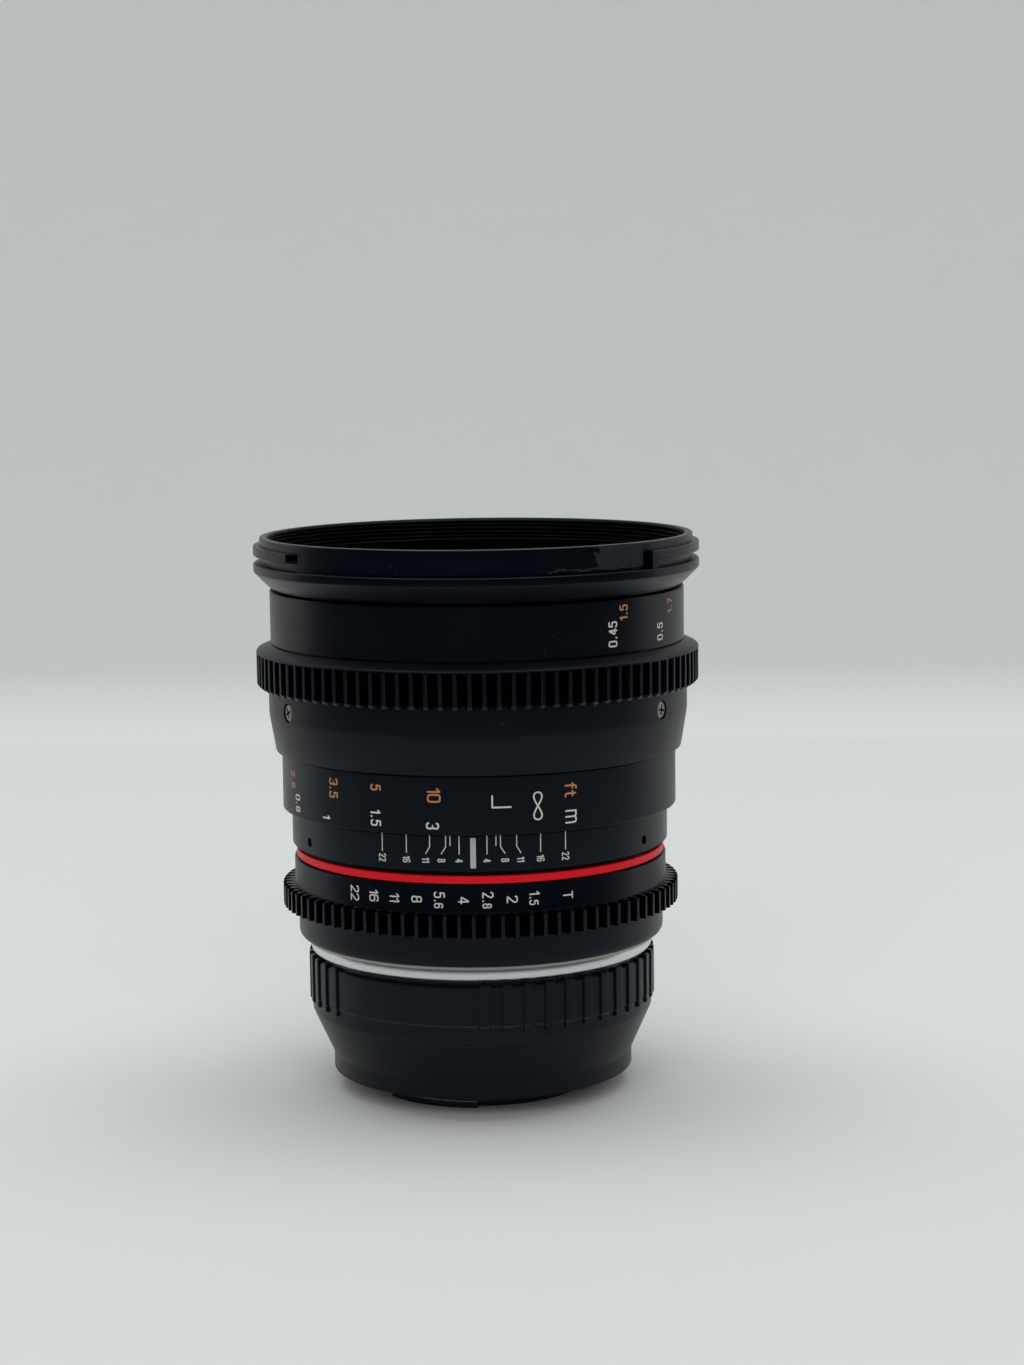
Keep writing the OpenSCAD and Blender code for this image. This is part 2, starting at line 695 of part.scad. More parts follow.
// Involute of a pressure angle, in degrees
function involute(a) = (tan(a) - a * PI / 180) * 180 / PI;
// Half the angle of a gear tooth at radius r
function tooth_half(teeth, r) =
    90 / teeth + involute(pressure_angle)
    - involute(acos(gear_module * teeth / 2 * cos(pressure_angle) / r));
// Place of a blade's drive pin in the cam ring's frame, for a blade turned by a from open
function cam_point(a) =
    let (x = pivot_r + blade_arm * sin(a), y = -blade_arm * cos(a), t = atan2(y, x) - a / blade_ratio)
    norm([x, y]) * [cos(t), sin(t)];

module turn_to(a) rotate([0, 0, a]) children();

// Children at a radius and an angle, raised to z
module place(r, a, z) turn_to(a) translate([0, -r, z]) children();

module ring(outer, inner, z, h)
    translate([0, 0, z]) linear_extrude(h) difference() {
        circle(outer);
        circle(inner);
    }

// Plate cut from a ring between two angles counted from the index mark
module arc_plate(outer, inner, from, to, z, h)
    translate([0, 0, z]) linear_extrude(h) difference() {
        intersection() {
            circle(outer);
            polygon(concat([[0, 0]],
                [for (i = [0:6]) at(2 * outer, from + (to - from) * i / 6)]));
        }
        circle(inner);
    }

// Cylinder along a radius at angle a, from radius r1 to r2
module radial_rod(r, a, r1, r2, z)
    place(r1, a, z) rotate([90, 0, 0]) cylinder(r = r, h = r2 - r1);

// Screw along +Z with a flat head at the bottom
module flat_screw(length) {
    cylinder(r = mount_head_r, h = mount_head_h);
    cylinder(r = mount_screw_r, h = length);
}

// Outline of a spur gear with involute flanks
module gear_outline(teeth) {
    pitch = gear_module * teeth / 2;
    flank = [pitch - root_depth * gear_module, pitch, pitch + gear_module];
    polygon([for (i = [0:teeth - 1]) each concat(
        [for (r = flank) at(r, 360 * i / teeth - tooth_half(teeth, r))],
        [for (k = [2:-1:0]) at(flank[k], 360 * i / teeth + tooth_half(teeth, flank[k]))])]);
}

// Round lens between two vertices; a positive curve bulges outwards, a negative one is hollow
module lens(r, top, top_curve, bottom, bottom_curve, rim_top, rim_bottom)
    color(GLASS) difference() {
        low = bottom_curve > 0 ? rim_bottom - cut : rim_bottom;
        high = top_curve > 0 ? rim_top + cut : rim_top;
        intersection() {
            translate([0, 0, low]) cylinder(r = r, h = high - low);
            if (top_curve > 0) translate([0, 0, top - top_curve]) sphere(top_curve, $fn = 192);
            if (bottom_curve > 0) translate([0, 0, bottom + bottom_curve]) sphere(bottom_curve, $fn = 192);
        }
        if (top_curve < 0) translate([0, 0, top - top_curve]) sphere(-top_curve, $fn = 192);
        if (bottom_curve < 0) translate([0, 0, bottom + bottom_curve]) sphere(-bottom_curve, $fn = 192);
    }

// Front ring with filter thread bore, hood bayonet and cone
module front_ring() color(BLACK) {
    ledge_r = thread_r - thread_ledge;
    difference() {
        rotate_extrude() polygon([
            [tube_r + seat_gap, front_z], [neck_r, front_z], [neck_r, neck_top_z],
            [neck_r + neck_flat, neck_top_z], [flange_r, flange_low_z], [flange_r, hood_groove_z - edge],
            [flange_r - edge, hood_groove_z], [hood_groove_r, hood_groove_z], [hood_groove_r, hood_tab_z],
            [lip_r, hood_tab_z], [lip_r, front_top_z - edge], [lip_r - edge, front_top_z],
            [thread_r + thread_bevel, front_top_z], [thread_r, front_top_z - thread_bevel],
            [thread_r, ledge_z], [ledge_r, ledge_z], [ledge_r, ledge_z - inner_step_h],
            [ledge_r - inner_step_w, ledge_z - inner_step_h],
            [ledge_r - inner_step_w, ledge_z - 2 * inner_step_h],
            [ledge_r - 2 * inner_step_w, ledge_z - 2 * inner_step_h],
            [ledge_r - 2 * inner_step_w, ledge_z - 3 * inner_step_h],
            [tube_bore + socket_wall, ledge_z - 3 * inner_step_h], [tube_bore + socket_wall, barrel_end_z],
            [tube_r + seat_gap, barrel_end_z]]);
        arc_plate(flange_r, lip_r - notch_depth, hood_gap_half - stop_notch, hood_gap_half,
                  hood_groove_z, stop_notch_h);
        arc_plate(flange_r, lip_r - notch_depth, -hood_gap_half, entry_notch - hood_gap_half,
                  hood_groove_z, hood_groove_h);
    }
    for (a = [90, 270])
        arc_plate(flange_r, hood_groove_r - side_gap, a - 90 + hood_gap_half, a + 90 - hood_gap_half,
                  hood_tab_z, hood_tab_h);
}

// Fixed barrel: slotted tube for the optics above, bearing of the aperture ring below
module main_barrel() color(SATIN) {
    slot_half = follower_r + run_gap;
    fork_half = asin(fork_w / 2 / low_bore) + window_turn;
    difference() {
        rotate_extrude() polygon([
            [low_bore, low_z], [low_r, low_z], [low_r, red_top_z], [shelf_r, red_top_z],
            [shelf_r, depth_top_z], [tube_r, depth_top_z], [tube_r, barrel_end_z],
            [tube_bore, barrel_end_z], [tube_bore, depth_top_z + barrel_floor],
            [low_bore, depth_top_z + barrel_floor]]);
        for (a = FOLLOWERS) {
            for (z = [follower_z - travel_far - run_gap, follower_z + travel_near + run_gap])
                radial_rod(slot_half, a, tube_bore - cut, tube_r + cut, z);
            turn_to(a) translate([-slot_half, -tube_r - cut, follower_z - travel_far])
                cube([2 * slot_half, tube_wall + 2 * cut, travel_far + travel_near]);
        }
        arc_plate(low_r + cut, low_bore - cut, tongue_at - iris_to_open - fork_half,
                  tongue_at + iris_to_closed + fork_half, fork_z - window_gap, fork_h + 2 * window_gap);
        for (a = THIRDS)
            radial_rod(thin_screw_r + thread_gap, a, low_bore - cut, shelf_r + cut, depth_screw_z);
    }
}

// Focus ring: skirt, gear and sloped shoulder
module focus_ring() color(BLACK) difference() {
    rim_r = focus_tip_r + gear_rim;
    head_in = focus_head_sink + focus_head_h + run_gap;
    union() {
        rotate_extrude() polygon([
            [focus_bore, skirt_z], [skirt_end_r - skirt_edge, skirt_z], [skirt_end_r, skirt_z + skirt_edge],
            [skirt_r, focus_gear_z - skirt_straight_h], [skirt_r, shoulder_z], [rim_r, shoulder_z],
            [rim_r - shoulder_bevel_w, shoulder_z + shoulder_bevel_h], [grip_r, grip_z],
            [focus_bore, grip_z]]);
        translate([0, 0, focus_gear_z]) intersection() {
            linear_extrude(focus_gear_h) difference() {
                gear_outline(focus_teeth);
                circle(skirt_r - overlap);
            }
            cylinder(r1 = focus_tip_r - tooth_bevel, r2 = focus_tip_r - tooth_bevel + focus_gear_h,
                     h = focus_gear_h);
        }
    }
    for (a = THIRDS) {
        radial_rod(thin_screw_r + 2 * run_gap, a, focus_bore - cut, skirt_r + cut, focus_screw_z);
        radial_rod(focus_head_r + run_gap, a, skirt_r - head_in, skirt_r + cut, focus_screw_z);
    }
}

// Smooth grip barrel above the shoulder, with the fine groove of the seam
module focus_grip() color(BLACK) rotate_extrude() polygon([
    [focus_bore, grip_z], [grip_r - seam_depth, grip_z], [grip_r - seam_depth, grip_z + seam_h],
    [grip_r, grip_z + seam_h], [grip_r, focus_top_z - skirt_edge], [grip_r - skirt_edge, focus_top_z],
    [focus_bore, focus_top_z]]);

// Helical slot through the cam sleeve, swept over the follower's path
module cam_slot() {
    steps = 42;
    end = 3.2;
    from = -focus_to_far - end;
    to = focus_to_near + end;
    slant = sqrt(1 + pow(cam_lead / (2 * PI * sleeve_bore), 2));
    half = (follower_r + run_gap) * slant;
    section = [[sleeve_bore - cut, -half], [sleeve_r + cut, -half],
               [sleeve_r + cut, half], [sleeve_bore - cut, half]];
    points = [for (i = [0:steps]) let (t = from + (to - from) * i / steps) for (p = section)
        [p[0] * sin(-t), -p[0] * cos(-t), follower_z + cam_lead * t / 360 + p[1]]];
    sides = [for (i = [0:steps - 1]) for (k = [0:3]) let (n = (k + 1) % 4, b = 4 * i)
        each [[b + k, b + 4 + k, b + 4 + n], [b + k, b + 4 + n, b + n]]];
    last = 4 * steps;
    caps = [[0, 1, 2], [0, 2, 3], [last + 2, last + 1, last], [last + 3, last + 2, last]];
    polyhedron(points, concat(sides, caps));
}

// Sleeve inside the focus ring whose helical slots push the optics along
module focus_cam_sleeve() color(BRASS) difference() {
    ring(sleeve_r, sleeve_bore, sleeve_z, sleeve_top_z - sleeve_z);
    for (a = FOLLOWERS) turn_to(a) cam_slot();
    for (a = THIRDS)
        radial_rod(thin_screw_r + thread_gap, a, sleeve_bore - cut, sleeve_r + cut, focus_screw_z);
}

// Distance scale band with a spigot inside the focus ring's skirt
module focus_scale_ring() color(SATIN) rotate_extrude() polygon([
    [band_bore, band_z], [band_r - edge, band_z], [band_r, band_z + edge], [band_r, band_top_z],
    [sleeve_r, band_top_z], [sleeve_r, spigot_top_z], [band_bore, spigot_top_z]]);

// Three screws that hold the focus ring on its cam sleeve
module focus_screws() color(STEEL) for (a = THIRDS) {
    head_top = skirt_r - focus_head_sink;
    radial_rod(focus_head_r, a, head_top - focus_head_h, head_top, focus_screw_z);
    radial_rod(thin_screw_r, a, sleeve_bore + overlap, head_top - focus_head_h / 2, focus_screw_z);
}

// Three followers: fixed in the optics barrel, guided by straight slots, driven by the cam sleeve
module cam_followers() color(STEEL) for (a = FOLLOWERS)
    radial_rod(follower_r, a, cell_bore + overlap, follower_tip_r, follower_z);

// Fixed ring with the depth scale
module depth_scale_ring() color(SATIN) difference() {
    rotate_extrude() polygon([
        [shelf_r + seat_gap, depth_z], [depth_r - edge, depth_z], [depth_r, depth_z + edge],
        [depth_r, depth_top_z - edge], [depth_r - edge, depth_top_z], [shelf_r + seat_gap, depth_top_z]]);
    for (a = THIRDS)
        radial_rod(thin_screw_r + thread_gap, a, shelf_r - cut, depth_r + cut, depth_screw_z);
}

// Set screws that hold the depth scale ring
module depth_set_screws() color(STEEL) for (a = THIRDS)
    radial_rod(thin_screw_r, a, shelf_r - set_screw_in, depth_r - set_screw_in, depth_screw_z);

// Thin red ring above the aperture ring
module red_ring() color(RED) ring(red_r, low_r + seat_gap, red_z, red_h);

// Aperture ring with its scale and gear
module aperture_ring() color(BLACK) difference() {
    blank_r = aperture_root_r - gear_sink;
    gear_top_z = aperture_z + aperture_gear_h;
    union() {
        rotate_extrude() polygon([
            [aperture_bore, aperture_z], [blank_r, aperture_z], [blank_r, gear_top_z],
            [aperture_r, gear_top_z + edge], [aperture_r, aperture_top_z - edge],
            [aperture_r - edge, aperture_top_z], [aperture_bore, aperture_top_z]]);
        translate([0, 0, aperture_z]) intersection() {
            linear_extrude(aperture_gear_h) difference() {
                gear_outline(aperture_teeth);
                circle(blank_r - overlap);
            }
            cylinder(r1 = aperture_tip_r - tooth_bevel + 2 * aperture_gear_h,
                     r2 = aperture_tip_r - tooth_bevel, h = aperture_gear_h);
        }
    }
    turn_to(tongue_at) translate([-fork_w / 2 - seat_gap, -fork_r - seat_gap, fork_z - seat_gap])
        cube([fork_w + 2 * seat_gap, fork_depth + cut, fork_h + 2 * seat_gap]);
}

// Fork on the aperture ring that grips the iris tongue through a window of the main barrel
module aperture_fork() color(STEEL) turn_to(tongue_at) difference() {
    translate([-fork_w / 2, -fork_r, fork_z]) cube([fork_w, fork_r - tongue_r + overlap, fork_h]);
    translate([-tongue_w / 2 - run_gap, -tongue_out_r - overlap, fork_z - cut])
        cube([tongue_w + 2 * run_gap, tongue_t + 2 * cut, fork_h + 2 * cut]);
}

// Fixed rear barrel with a rounded lower edge and the inner flange for the mount
module rear_barrel() color(SATIN) difference() {
    seat_r = plate_seat_r + seat_gap;
    bore = low_r + seat_gap;
    rotate_extrude() polygon(concat(
        [[rear_flange_r, plate_z + plate_seat], [seat_r, plate_z + plate_seat], [seat_r, plate_z]],
        [for (a = [0:18:90])
            [rear_low_r - rear_round * (1 - sin(a)), plate_z + rear_round * (1 - cos(a))]],
        [[rear_top_r, rear_flare_z], [rear_top_r, rear_z - edge], [rear_top_r - edge, rear_z],
         [bore, rear_z], [bore, low_z], [rear_flange_r, low_z]]));
    for (a = QUARTERS)
        place(mount_screw_at, a, plate_z) cylinder(r = mount_screw_r + thread_gap, h = rear_h);
}

// Lens mount plate with the bayonet that the adapter holds
module lens_mount_plate() color(CHROME) {
    difference() {
        rotate_extrude() polygon([
            [bayonet_r, bayonet_low_z], [bayonet_out_r, bayonet_low_z], [bayonet_out_r, flange_z],
            [plate_r, flange_z], [plate_r, plate_z], [plate_seat_r, plate_z],
            [plate_seat_r, plate_z + plate_seat], [bayonet_r, plate_z + plate_seat]]);
        place(lock_pin_at, lock_at, flange_z - cut) cylinder(r = pin_hole_r, h = cut + lock_depth + overlap);
        for (a = QUARTERS) place(mount_screw_at, a, flange_z - cut) {
            cylinder(r = mount_head_r + run_gap, h = cut + mount_head_h + run_gap);
            cylinder(r = mount_screw_r + run_gap, h = rear_h);
        }
    }
    for (a = TABS)
        arc_plate(bayonet_out_r + bayonet_reach, bayonet_r + bayonet_wall / 2,
                  a - bayonet_angle / 2, a + bayonet_angle / 2, tab_z, bayonet_tab_h);
}

// Screws of the lens mount plate
module lens_mount_screws() color(STEEL) for (a = QUARTERS)
    place(mount_screw_at, a, flange_z + run_gap)
        flat_screw(plate_edge + plate_seat + rear_flange_h - side_gap);

// Matt ring in the lens's bayonet tube
module rear_light_baffle() color(BLACK)
    ring(bayonet_r - seat_gap, rear_glass_r + baffle_over, bayonet_low_z, baffle_h);

// Optics barrel: cell seat in front, iris plate and iris chamber behind
module optics_barrel() color(SATIN) difference() {
    tab_half = asin((tongue_w / 2 + free_gap) / chamber_bore) + window_turn;
    rotate_extrude() polygon([
        [stop_r, iris_z], [chamber_bore, iris_z], [chamber_bore, chamber_z], [chamber_r, chamber_z],
        [chamber_r, iris_z], [slide_r, iris_z], [slide_r, iris_z + band_len], [optics_r, iris_z + band_len],
        [optics_r, barrel_top_z - band_len], [slide_r, barrel_top_z - band_len], [slide_r, barrel_top_z],
        [cell_bore, barrel_top_z], [cell_bore, second_seat_z], [stop_r, second_seat_z]]);
    for (i = [0:blade_count - 1])
        turn_to(360 * i / blade_count) translate([pivot_r, 0, iris_z - cut])
            cylinder(r = blade_pin_r + run_gap, h = cut + pivot_pin_in + side_gap);
    for (a = FOLLOWERS) radial_rod(follower_r + press_gap, a, cell_bore - cut, slide_r + cut, follower_z);
    arc_plate(chamber_r + cut, chamber_bore - overlap, tongue_at - iris_to_open - tab_half,
              tongue_at + iris_to_closed + tab_half, cam_ring_z - side_gap, cam_ring_h + 2 * side_gap);
}

// Cell of the two front groups
module front_cell() color(SATIN) rotate_extrude() polygon([
    [second_glass_r + run_gap, second_seat_z + run_gap], [cell_r, second_seat_z + run_gap],
    [cell_r, barrel_top_z], [front_glass_r + run_gap, barrel_top_z],
    [front_glass_r + run_gap, front_seat_z], [second_glass_r + run_gap, front_seat_z]]);

// Bare name ring that keeps the front element in its cell
module name_ring() color(BLACK) {
    inner = front_glass_r - name_ring_lip;
    outer = slide_r - face_gap;
    top = barrel_top_z + name_ring_h;
    foot = barrel_top_z + name_ring_foot;
    lip = front_vertex_z - sag(front_curve, inner) + side_gap;
    flat = outer - edge - name_ring_top;
    rotate_extrude() polygon([
        [inner, lip], [front_glass_r, lip], [front_glass_r, barrel_top_z], [outer, barrel_top_z],
        [outer, top - edge], [outer - edge, top], [flat, top],
        [flat - name_ring_bevel, top - name_ring_top], [inner + name_ring_lip, foot],
        [inner, foot - overlap]]);
}

// Threaded ring that keeps the second group in its cell
module front_spacer() color(BLACK) {
    inner = second_glass_r - front_retainer_w;
    low = second_vertex_z - sag(second_curve, inner) + run_gap;
    ring(second_glass_r, inner, low, front_seat_z - run_gap - low);
}

// Cell of the four rear groups
module rear_cell() color(SATIN) rotate_extrude() polygon([
    [rear_glass_r + run_gap, rear_end_z], [rear_cell_r, rear_end_z],
    [rear_cell_r, chamber_z - rear_flange_rim], [chamber_r, chamber_z - rear_flange_rim],
    [chamber_r, chamber_z], [third_glass_r - third_lip_w, chamber_z],
    [third_glass_r - third_lip_w, third_rim_z + run_gap], [third_glass_r + run_gap, third_rim_z + run_gap],
    [third_glass_r + run_gap, rear_step_z], [rear_glass_r + run_gap, rear_step_z]]);

// Spacers between the rear groups
module rear_spacers() color(BLACK) {
    lip_inner = third_glass_r - spacer_lip;
    inner = rear_glass_r - spacer_w;
    low_a = sixth_z - sag(sixth_curve, lip_inner) + run_gap;
    ring(rear_glass_r, lip_inner, low_a, rear_step_z - run_gap - low_a);
    low_b = seventh_z - sag(seventh_curve, inner) + run_gap;
    ring(rear_glass_r, inner, low_b, sixth_back_z + sag(sixth_back_curve, inner) - run_gap - low_b);
    low_c = ninth_z - sag(ninth_curve, inner) + run_gap;
    ring(rear_glass_r, inner, low_c, eighth_rim_z - run_gap - low_c);
}

// Ring that keeps the rear element in its cell
module rear_retainer() color(BLACK) {
    inner = rear_glass_r - rear_retainer_w;
    ring(rear_glass_r, inner, rear_end_z,
         ninth_back_z + sag(ninth_back_curve, inner) - 2 * run_gap - rear_end_z);
}

module glass_1_front() lens(front_glass_r, front_vertex_z, front_curve, front_back_z, -front_back_curve,
    front_vertex_z, front_rim_z);
module glass_2() lens(second_glass_r, second_vertex_z, second_curve, second_joint_z, -second_joint_curve,
    second_vertex_z, second_rim_z);
module glass_3() lens(second_glass_r, second_joint_z, second_joint_curve, third_back_z, -third_back_curve,
    second_joint_z, second_seat_z);
module glass_4() lens(third_glass_r, fourth_z, -fourth_curve, fourth_joint_z, -fourth_joint_curve,
    third_rim_z, fourth_rim_z);
module glass_5() lens(third_glass_r, fourth_joint_z, fourth_joint_curve, fifth_back_z, fifth_back_curve,
    fourth_joint_z, fifth_back_z);
module glass_6() lens(rear_glass_r, sixth_z, sixth_curve, sixth_back_z, sixth_back_curve,
    sixth_z, sixth_back_z);
module glass_7() lens(rear_glass_r, seventh_z, seventh_curve, seventh_joint_z, -seventh_joint_curve,
    seventh_z, seventh_rim_z);
module glass_8() lens(rear_glass_r, seventh_joint_z, seventh_joint_curve, eighth_back_z, -eighth_back_curve,
    seventh_joint_z, eighth_rim_z);
module glass_9_rear() lens(rear_glass_r, ninth_z, ninth_curve, ninth_back_z, ninth_back_curve,
    ninth_z, ninth_back_z);

// Ring with a spiral slot for each blade's drive pin, and the tongue that the aperture fork grips
module iris_cam_ring() color(BRASS) {
    steps = 14;
    half = blade_pin_r + pin_gap;
    path = [for (i = [0:steps]) cam_point(blade_turn * i / steps)];
    translate([0, 0, cam_ring_z]) linear_extrude(cam_ring_h) difference() {
        circle(cam_ring_r);
        circle(stop_r);
        for (i = [0:blade_count - 1]) rotate(360 * i / blade_count + iris_to_open) {
            polygon(concat([for (p = path) p * (1 + half / norm(p))],
                           [for (k = [steps:-1:0]) path[k] * (1 - half / norm(path[k]))]));
            for (k = [0, steps]) translate(path[k]) circle(half, $fn = FINE);
        }
    }
    turn_to(tongue_at) translate([-tongue_w / 2, -tongue_out_r, 0]) {
        translate([0, 0, cam_ring_z]) cube([tongue_w, tongue_out_r - cam_ring_r + 2 * overlap, cam_ring_h]);
        translate([0, 0, tongue_z]) cube([tongue_w, tongue_t, cam_ring_top_z - tongue_z]);
    }
}

// Ring that closes the iris chamber
module iris_retaining_ring() color(SATIN) ring(chamber_bore - run_gap, stop_r, chamber_z, retainer_h);

// One iris blade: curved leaf, pivot pin into the iris plate, drive pin into the cam ring
module iris_blade(i) color(STEEL) {
    blade_z = iris_z - blade_top_gap - i * blade_step - blade_t;
    pin_z = cam_ring_z + 2 * run_gap;
    turn_to(360 * i / blade_count) translate([pivot_r, 0, 0]) turn_to(blade_rest) {
        translate([0, 0, blade_z]) linear_extrude(blade_t) {
            translate([-pivot_r, 0]) difference() {
                intersection() {
                    circle(blade_out_r);
                    polygon(concat([[0, 0]], [for (k = [0:6])
                        let (t = -blade_heel + (blade_reach + blade_heel) * k / 6)
                        2 * blade_out_r * [cos(t), sin(t)]]));
                }
                circle(open_r);
            }
            translate([-arm_in, -blade_arm]) square([arm_w, blade_arm]);
            circle(pivot_boss, $fn = FINE);
            translate([0, -blade_arm]) circle(drive_boss, $fn = FINE);
        }
        translate([0, 0, blade_z])
            cylinder(r = blade_pin_r, h = iris_z + pivot_pin_in - blade_z, $fn = FINE);
        translate([0, -blade_arm, pin_z])
            cylinder(r = blade_pin_r, h = blade_z + blade_t - pin_z, $fn = FINE);
    }
}

// Chrome bayonet ring of the adapter
module adapter_lens_mount() color(CHROME) difference() {
    union() {
        rotate_extrude() polygon([
            [catch_bore, shelf_z], [spigot_r, shelf_z], [spigot_r, chrome_z], [chrome_r - edge, chrome_z],
            [chrome_r, chrome_z + edge], [chrome_r, flange_z], [catch_bore, flange_z]]);
        for (a = TABS)
            arc_plate(catch_bore + free_gap, catch_tab_bore, a - bayonet_angle / 2, a + bayonet_angle / 2,
                      flange_z - catch_h, catch_h);
    }
    place(lock_pin_at, lock_at, shelf_z - cut) cylinder(r = pin_hole_r, h = adapter_len);
    for (a = QUARTERS) {
        place(lock_pin_at, a, shelf_z - cut) cylinder(r = mount_screw_r + run_gap, h = adapter_len);
        place(lock_pin_at, a, flange_z - mount_head_h - 2 * run_gap)
            cylinder(r = mount_head_r + run_gap, h = adapter_len);
    }
}

// Screws of the adapter's bayonet ring
module adapter_lens_screws() color(STEEL) for (a = QUARTERS)
    place(lock_pin_at, a, flange_z - run_gap) mirror([0, 0, 1])
        flat_screw(flange_z - shelf_z + lens_screw_len);

// Leaf springs between the bayonet ring's inward tabs and the lens's tabs
module adapter_bayonet_springs() color(STEEL) for (a = TABS)
    arc_plate(catch_bore - run_gap, catch_tab_bore + run_gap, a - bayonet_angle / 3, a + bayonet_angle / 3,
              flange_z - catch_h - spring_leaf, spring_leaf);

// Adapter body with grip ribs, two smooth panels and a stepped light trap inside
module adapter_body() color(SATIN) difference() {
    plate_bore = camera_plate_r + run_gap;
    plate_top_z = camera_z + camera_plate_h;
    spigot_bore = spigot_r + run_gap;
    rib_bevel = 0.15;
    flutes = floor((360 - 4 * panel_half) / 2 / rib_pitch);
    rotate_extrude() polygon(concat(
        [[plate_bore, camera_z], [foot_r - edge, camera_z], [foot_r, camera_z + edge], [foot_r, foot_top_z],
         [base_r, cone_top_z], [base_r, rib_z], [rib_r, rib_z + rib_bevel], [rib_r, rib_top_z - edge],
         [rib_r - edge, rib_top_z], [spigot_bore, rib_top_z], [spigot_bore, shelf_z], [wall_bore, shelf_z],
         [wall_bore, cone_top_z]],
        [for (i = [0:trap_steps - 1]) each let (
            outer = wall_bore + (trap_r - wall_bore) * i / trap_steps,
            inner = wall_bore + (trap_r - wall_bore) * (i + 1) / trap_steps,
            z = cone_top_z + (trap_low_z - cone_top_z) * (i + 1) / trap_steps)
            [[outer, z], [inner, z]]],
        [[trap_r, plate_top_z], [plate_bore, plate_top_z]]));
    for (side = [0, 180]) for (i = [0:flutes - 1])
        let (a = panel_centre + panel_half + side + (i + rib_share) * rib_pitch)
        arc_plate(rib_r + cut, flute_r, a, a + (1 - rib_share) * rib_pitch, rib_z + run_gap,
                  rib_top_z - rib_z + cut);
    turn_to(lock_at) translate([-slider_w / 2 - slider_gap, -rib_r - cut, pocket_z])
        cube([slider_w + 2 * slider_gap, rib_r - wall_bore + 2 * cut, pocket_top_z - pocket_z]);
    place(lock_pin_at, lock_at, pocket_z) cylinder(r = pin_hole_r, h = shelf_z - pocket_z + cut);
    place(lock_pin_at, lock_at, spring_z) cylinder(r = lock_pin_r + overlap, h = pocket_z - spring_z + cut);
    for (a = QUARTERS) {
        place(lock_pin_at, a, shelf_z - lens_screw_len - cut)
            cylinder(r = mount_screw_r + thread_gap, h = lens_screw_len + 2 * cut);
        place(camera_screw_at, a, camera_z)
            cylinder(r = mount_screw_r + thread_gap, h = camera_plate_h + camera_screw_len + side_gap);
    }
}

// Camera-side mount: plate, bayonet tube, index hole and three claws
module adapter_camera_mount() color(CHROME) {
    tube_out = throat_r + throat_wall;
    difference() {
        rotate_extrude() polygon([
            [throat_r, 0], [tube_out - edge, 0], [tube_out, edge], [tube_out, camera_z],
            [camera_plate_r, camera_z], [camera_plate_r, camera_z + camera_plate_h],
            [throat_r, camera_z + camera_plate_h]]);
        for (a = QUARTERS) place(camera_screw_at, a, camera_z - cut) {
            cylinder(r = mount_screw_r + run_gap, h = camera_plate_h + 2 * cut);
            cylinder(r = mount_head_r + run_gap, h = cut + mount_head_h + 2 * run_gap);
        }
        place(camera_screw_at, index_hole_at, camera_z - cut)
            cylinder(r = index_hole_r, h = cut + camera_plate_h * 2 / 3);
    }
    for (a = CLAWS)
        arc_plate(tube_out + claw_reach, throat_r + throat_wall / 2, a - claw_angle / 2, a + claw_angle / 2,
                  0, claw_thick);
}

// Screws of the camera-side mount
module adapter_camera_screws() color(STEEL) for (a = QUARTERS)
    place(camera_screw_at, a, camera_z + run_gap) flat_screw(camera_plate_h + camera_screw_len);

// Lock pin that keeps the lens from turning in the adapter
module lock_pin() color(STEEL) place(lock_pin_at, lock_at, slider_z)
    cylinder(r = lock_pin_r, h = flange_z + lock_depth - slider_z);

// Release slider: block round the pin, and a grooved finger pad outside the wall
module release_slider() color(BLACK) turn_to(lock_at) {
    pad_in = rib_r + overlap;
    pad_w = slider_w + 2 * pad_over;
    pad_inset = 0.4;
    grooves = 3;
    groove_w = 0.5;
    groove_deep = 0.4;
    difference() {
        union() {
            translate([-slider_w / 2, -pad_in - side_gap, slider_z])
                cube([slider_w, pad_in - wall_bore, slider_h]);
            translate([-pad_w / 2, -pad_in - pad_t, slider_z + pad_inset])
                cube([pad_w, pad_t, slider_h - 2 * pad_inset]);
        }
        translate([0, -lock_pin_at, slider_z - cut])
            cylinder(r = lock_pin_r + press_gap, h = slider_h + 2 * cut);
        for (i = [1:grooves])
            translate([-pad_w, -pad_in - pad_t - cut, slider_z + slider_h * i / (grooves + 1) - groove_w / 2])
                cube([2 * pad_w, cut + groove_deep, groove_w]);
    }
}

// Coil spring under the release slider
module lock_spring() color(STEEL) place(lock_pin_at, lock_at, 0) {
    rings = 10;
    sides = 6;
    coil_r = lock_pin_r - 2 * run_gap;
    low = spring_z + spring_wire + thread_gap;
    high = slider_z - spring_wire - thread_gap;
    count = spring_turns * rings;
    points = [for (i = [0:count]) for (k = [0:sides - 1]) let (
        t = 360 * i / rings, s = 360 * k / sides, r = coil_r + spring_wire * cos(s))
        [r * cos(t), r * sin(t), low + (high - low) * i / count + spring_wire * sin(s)]];
    walls = [for (i = [0:count - 1]) for (k = [0:sides - 1]) let (n = (k + 1) % sides, b = sides * i)
        each [[b + k, b + sides + k, b + sides + n], [b + k, b + sides + n, b + n]]];
    caps = [for (k = [1:sides - 2]) each [[0, k, k + 1],
        [count * sides, count * sides + k + 1, count * sides + k]]];
    polyhedron(points, concat(walls, caps));
}

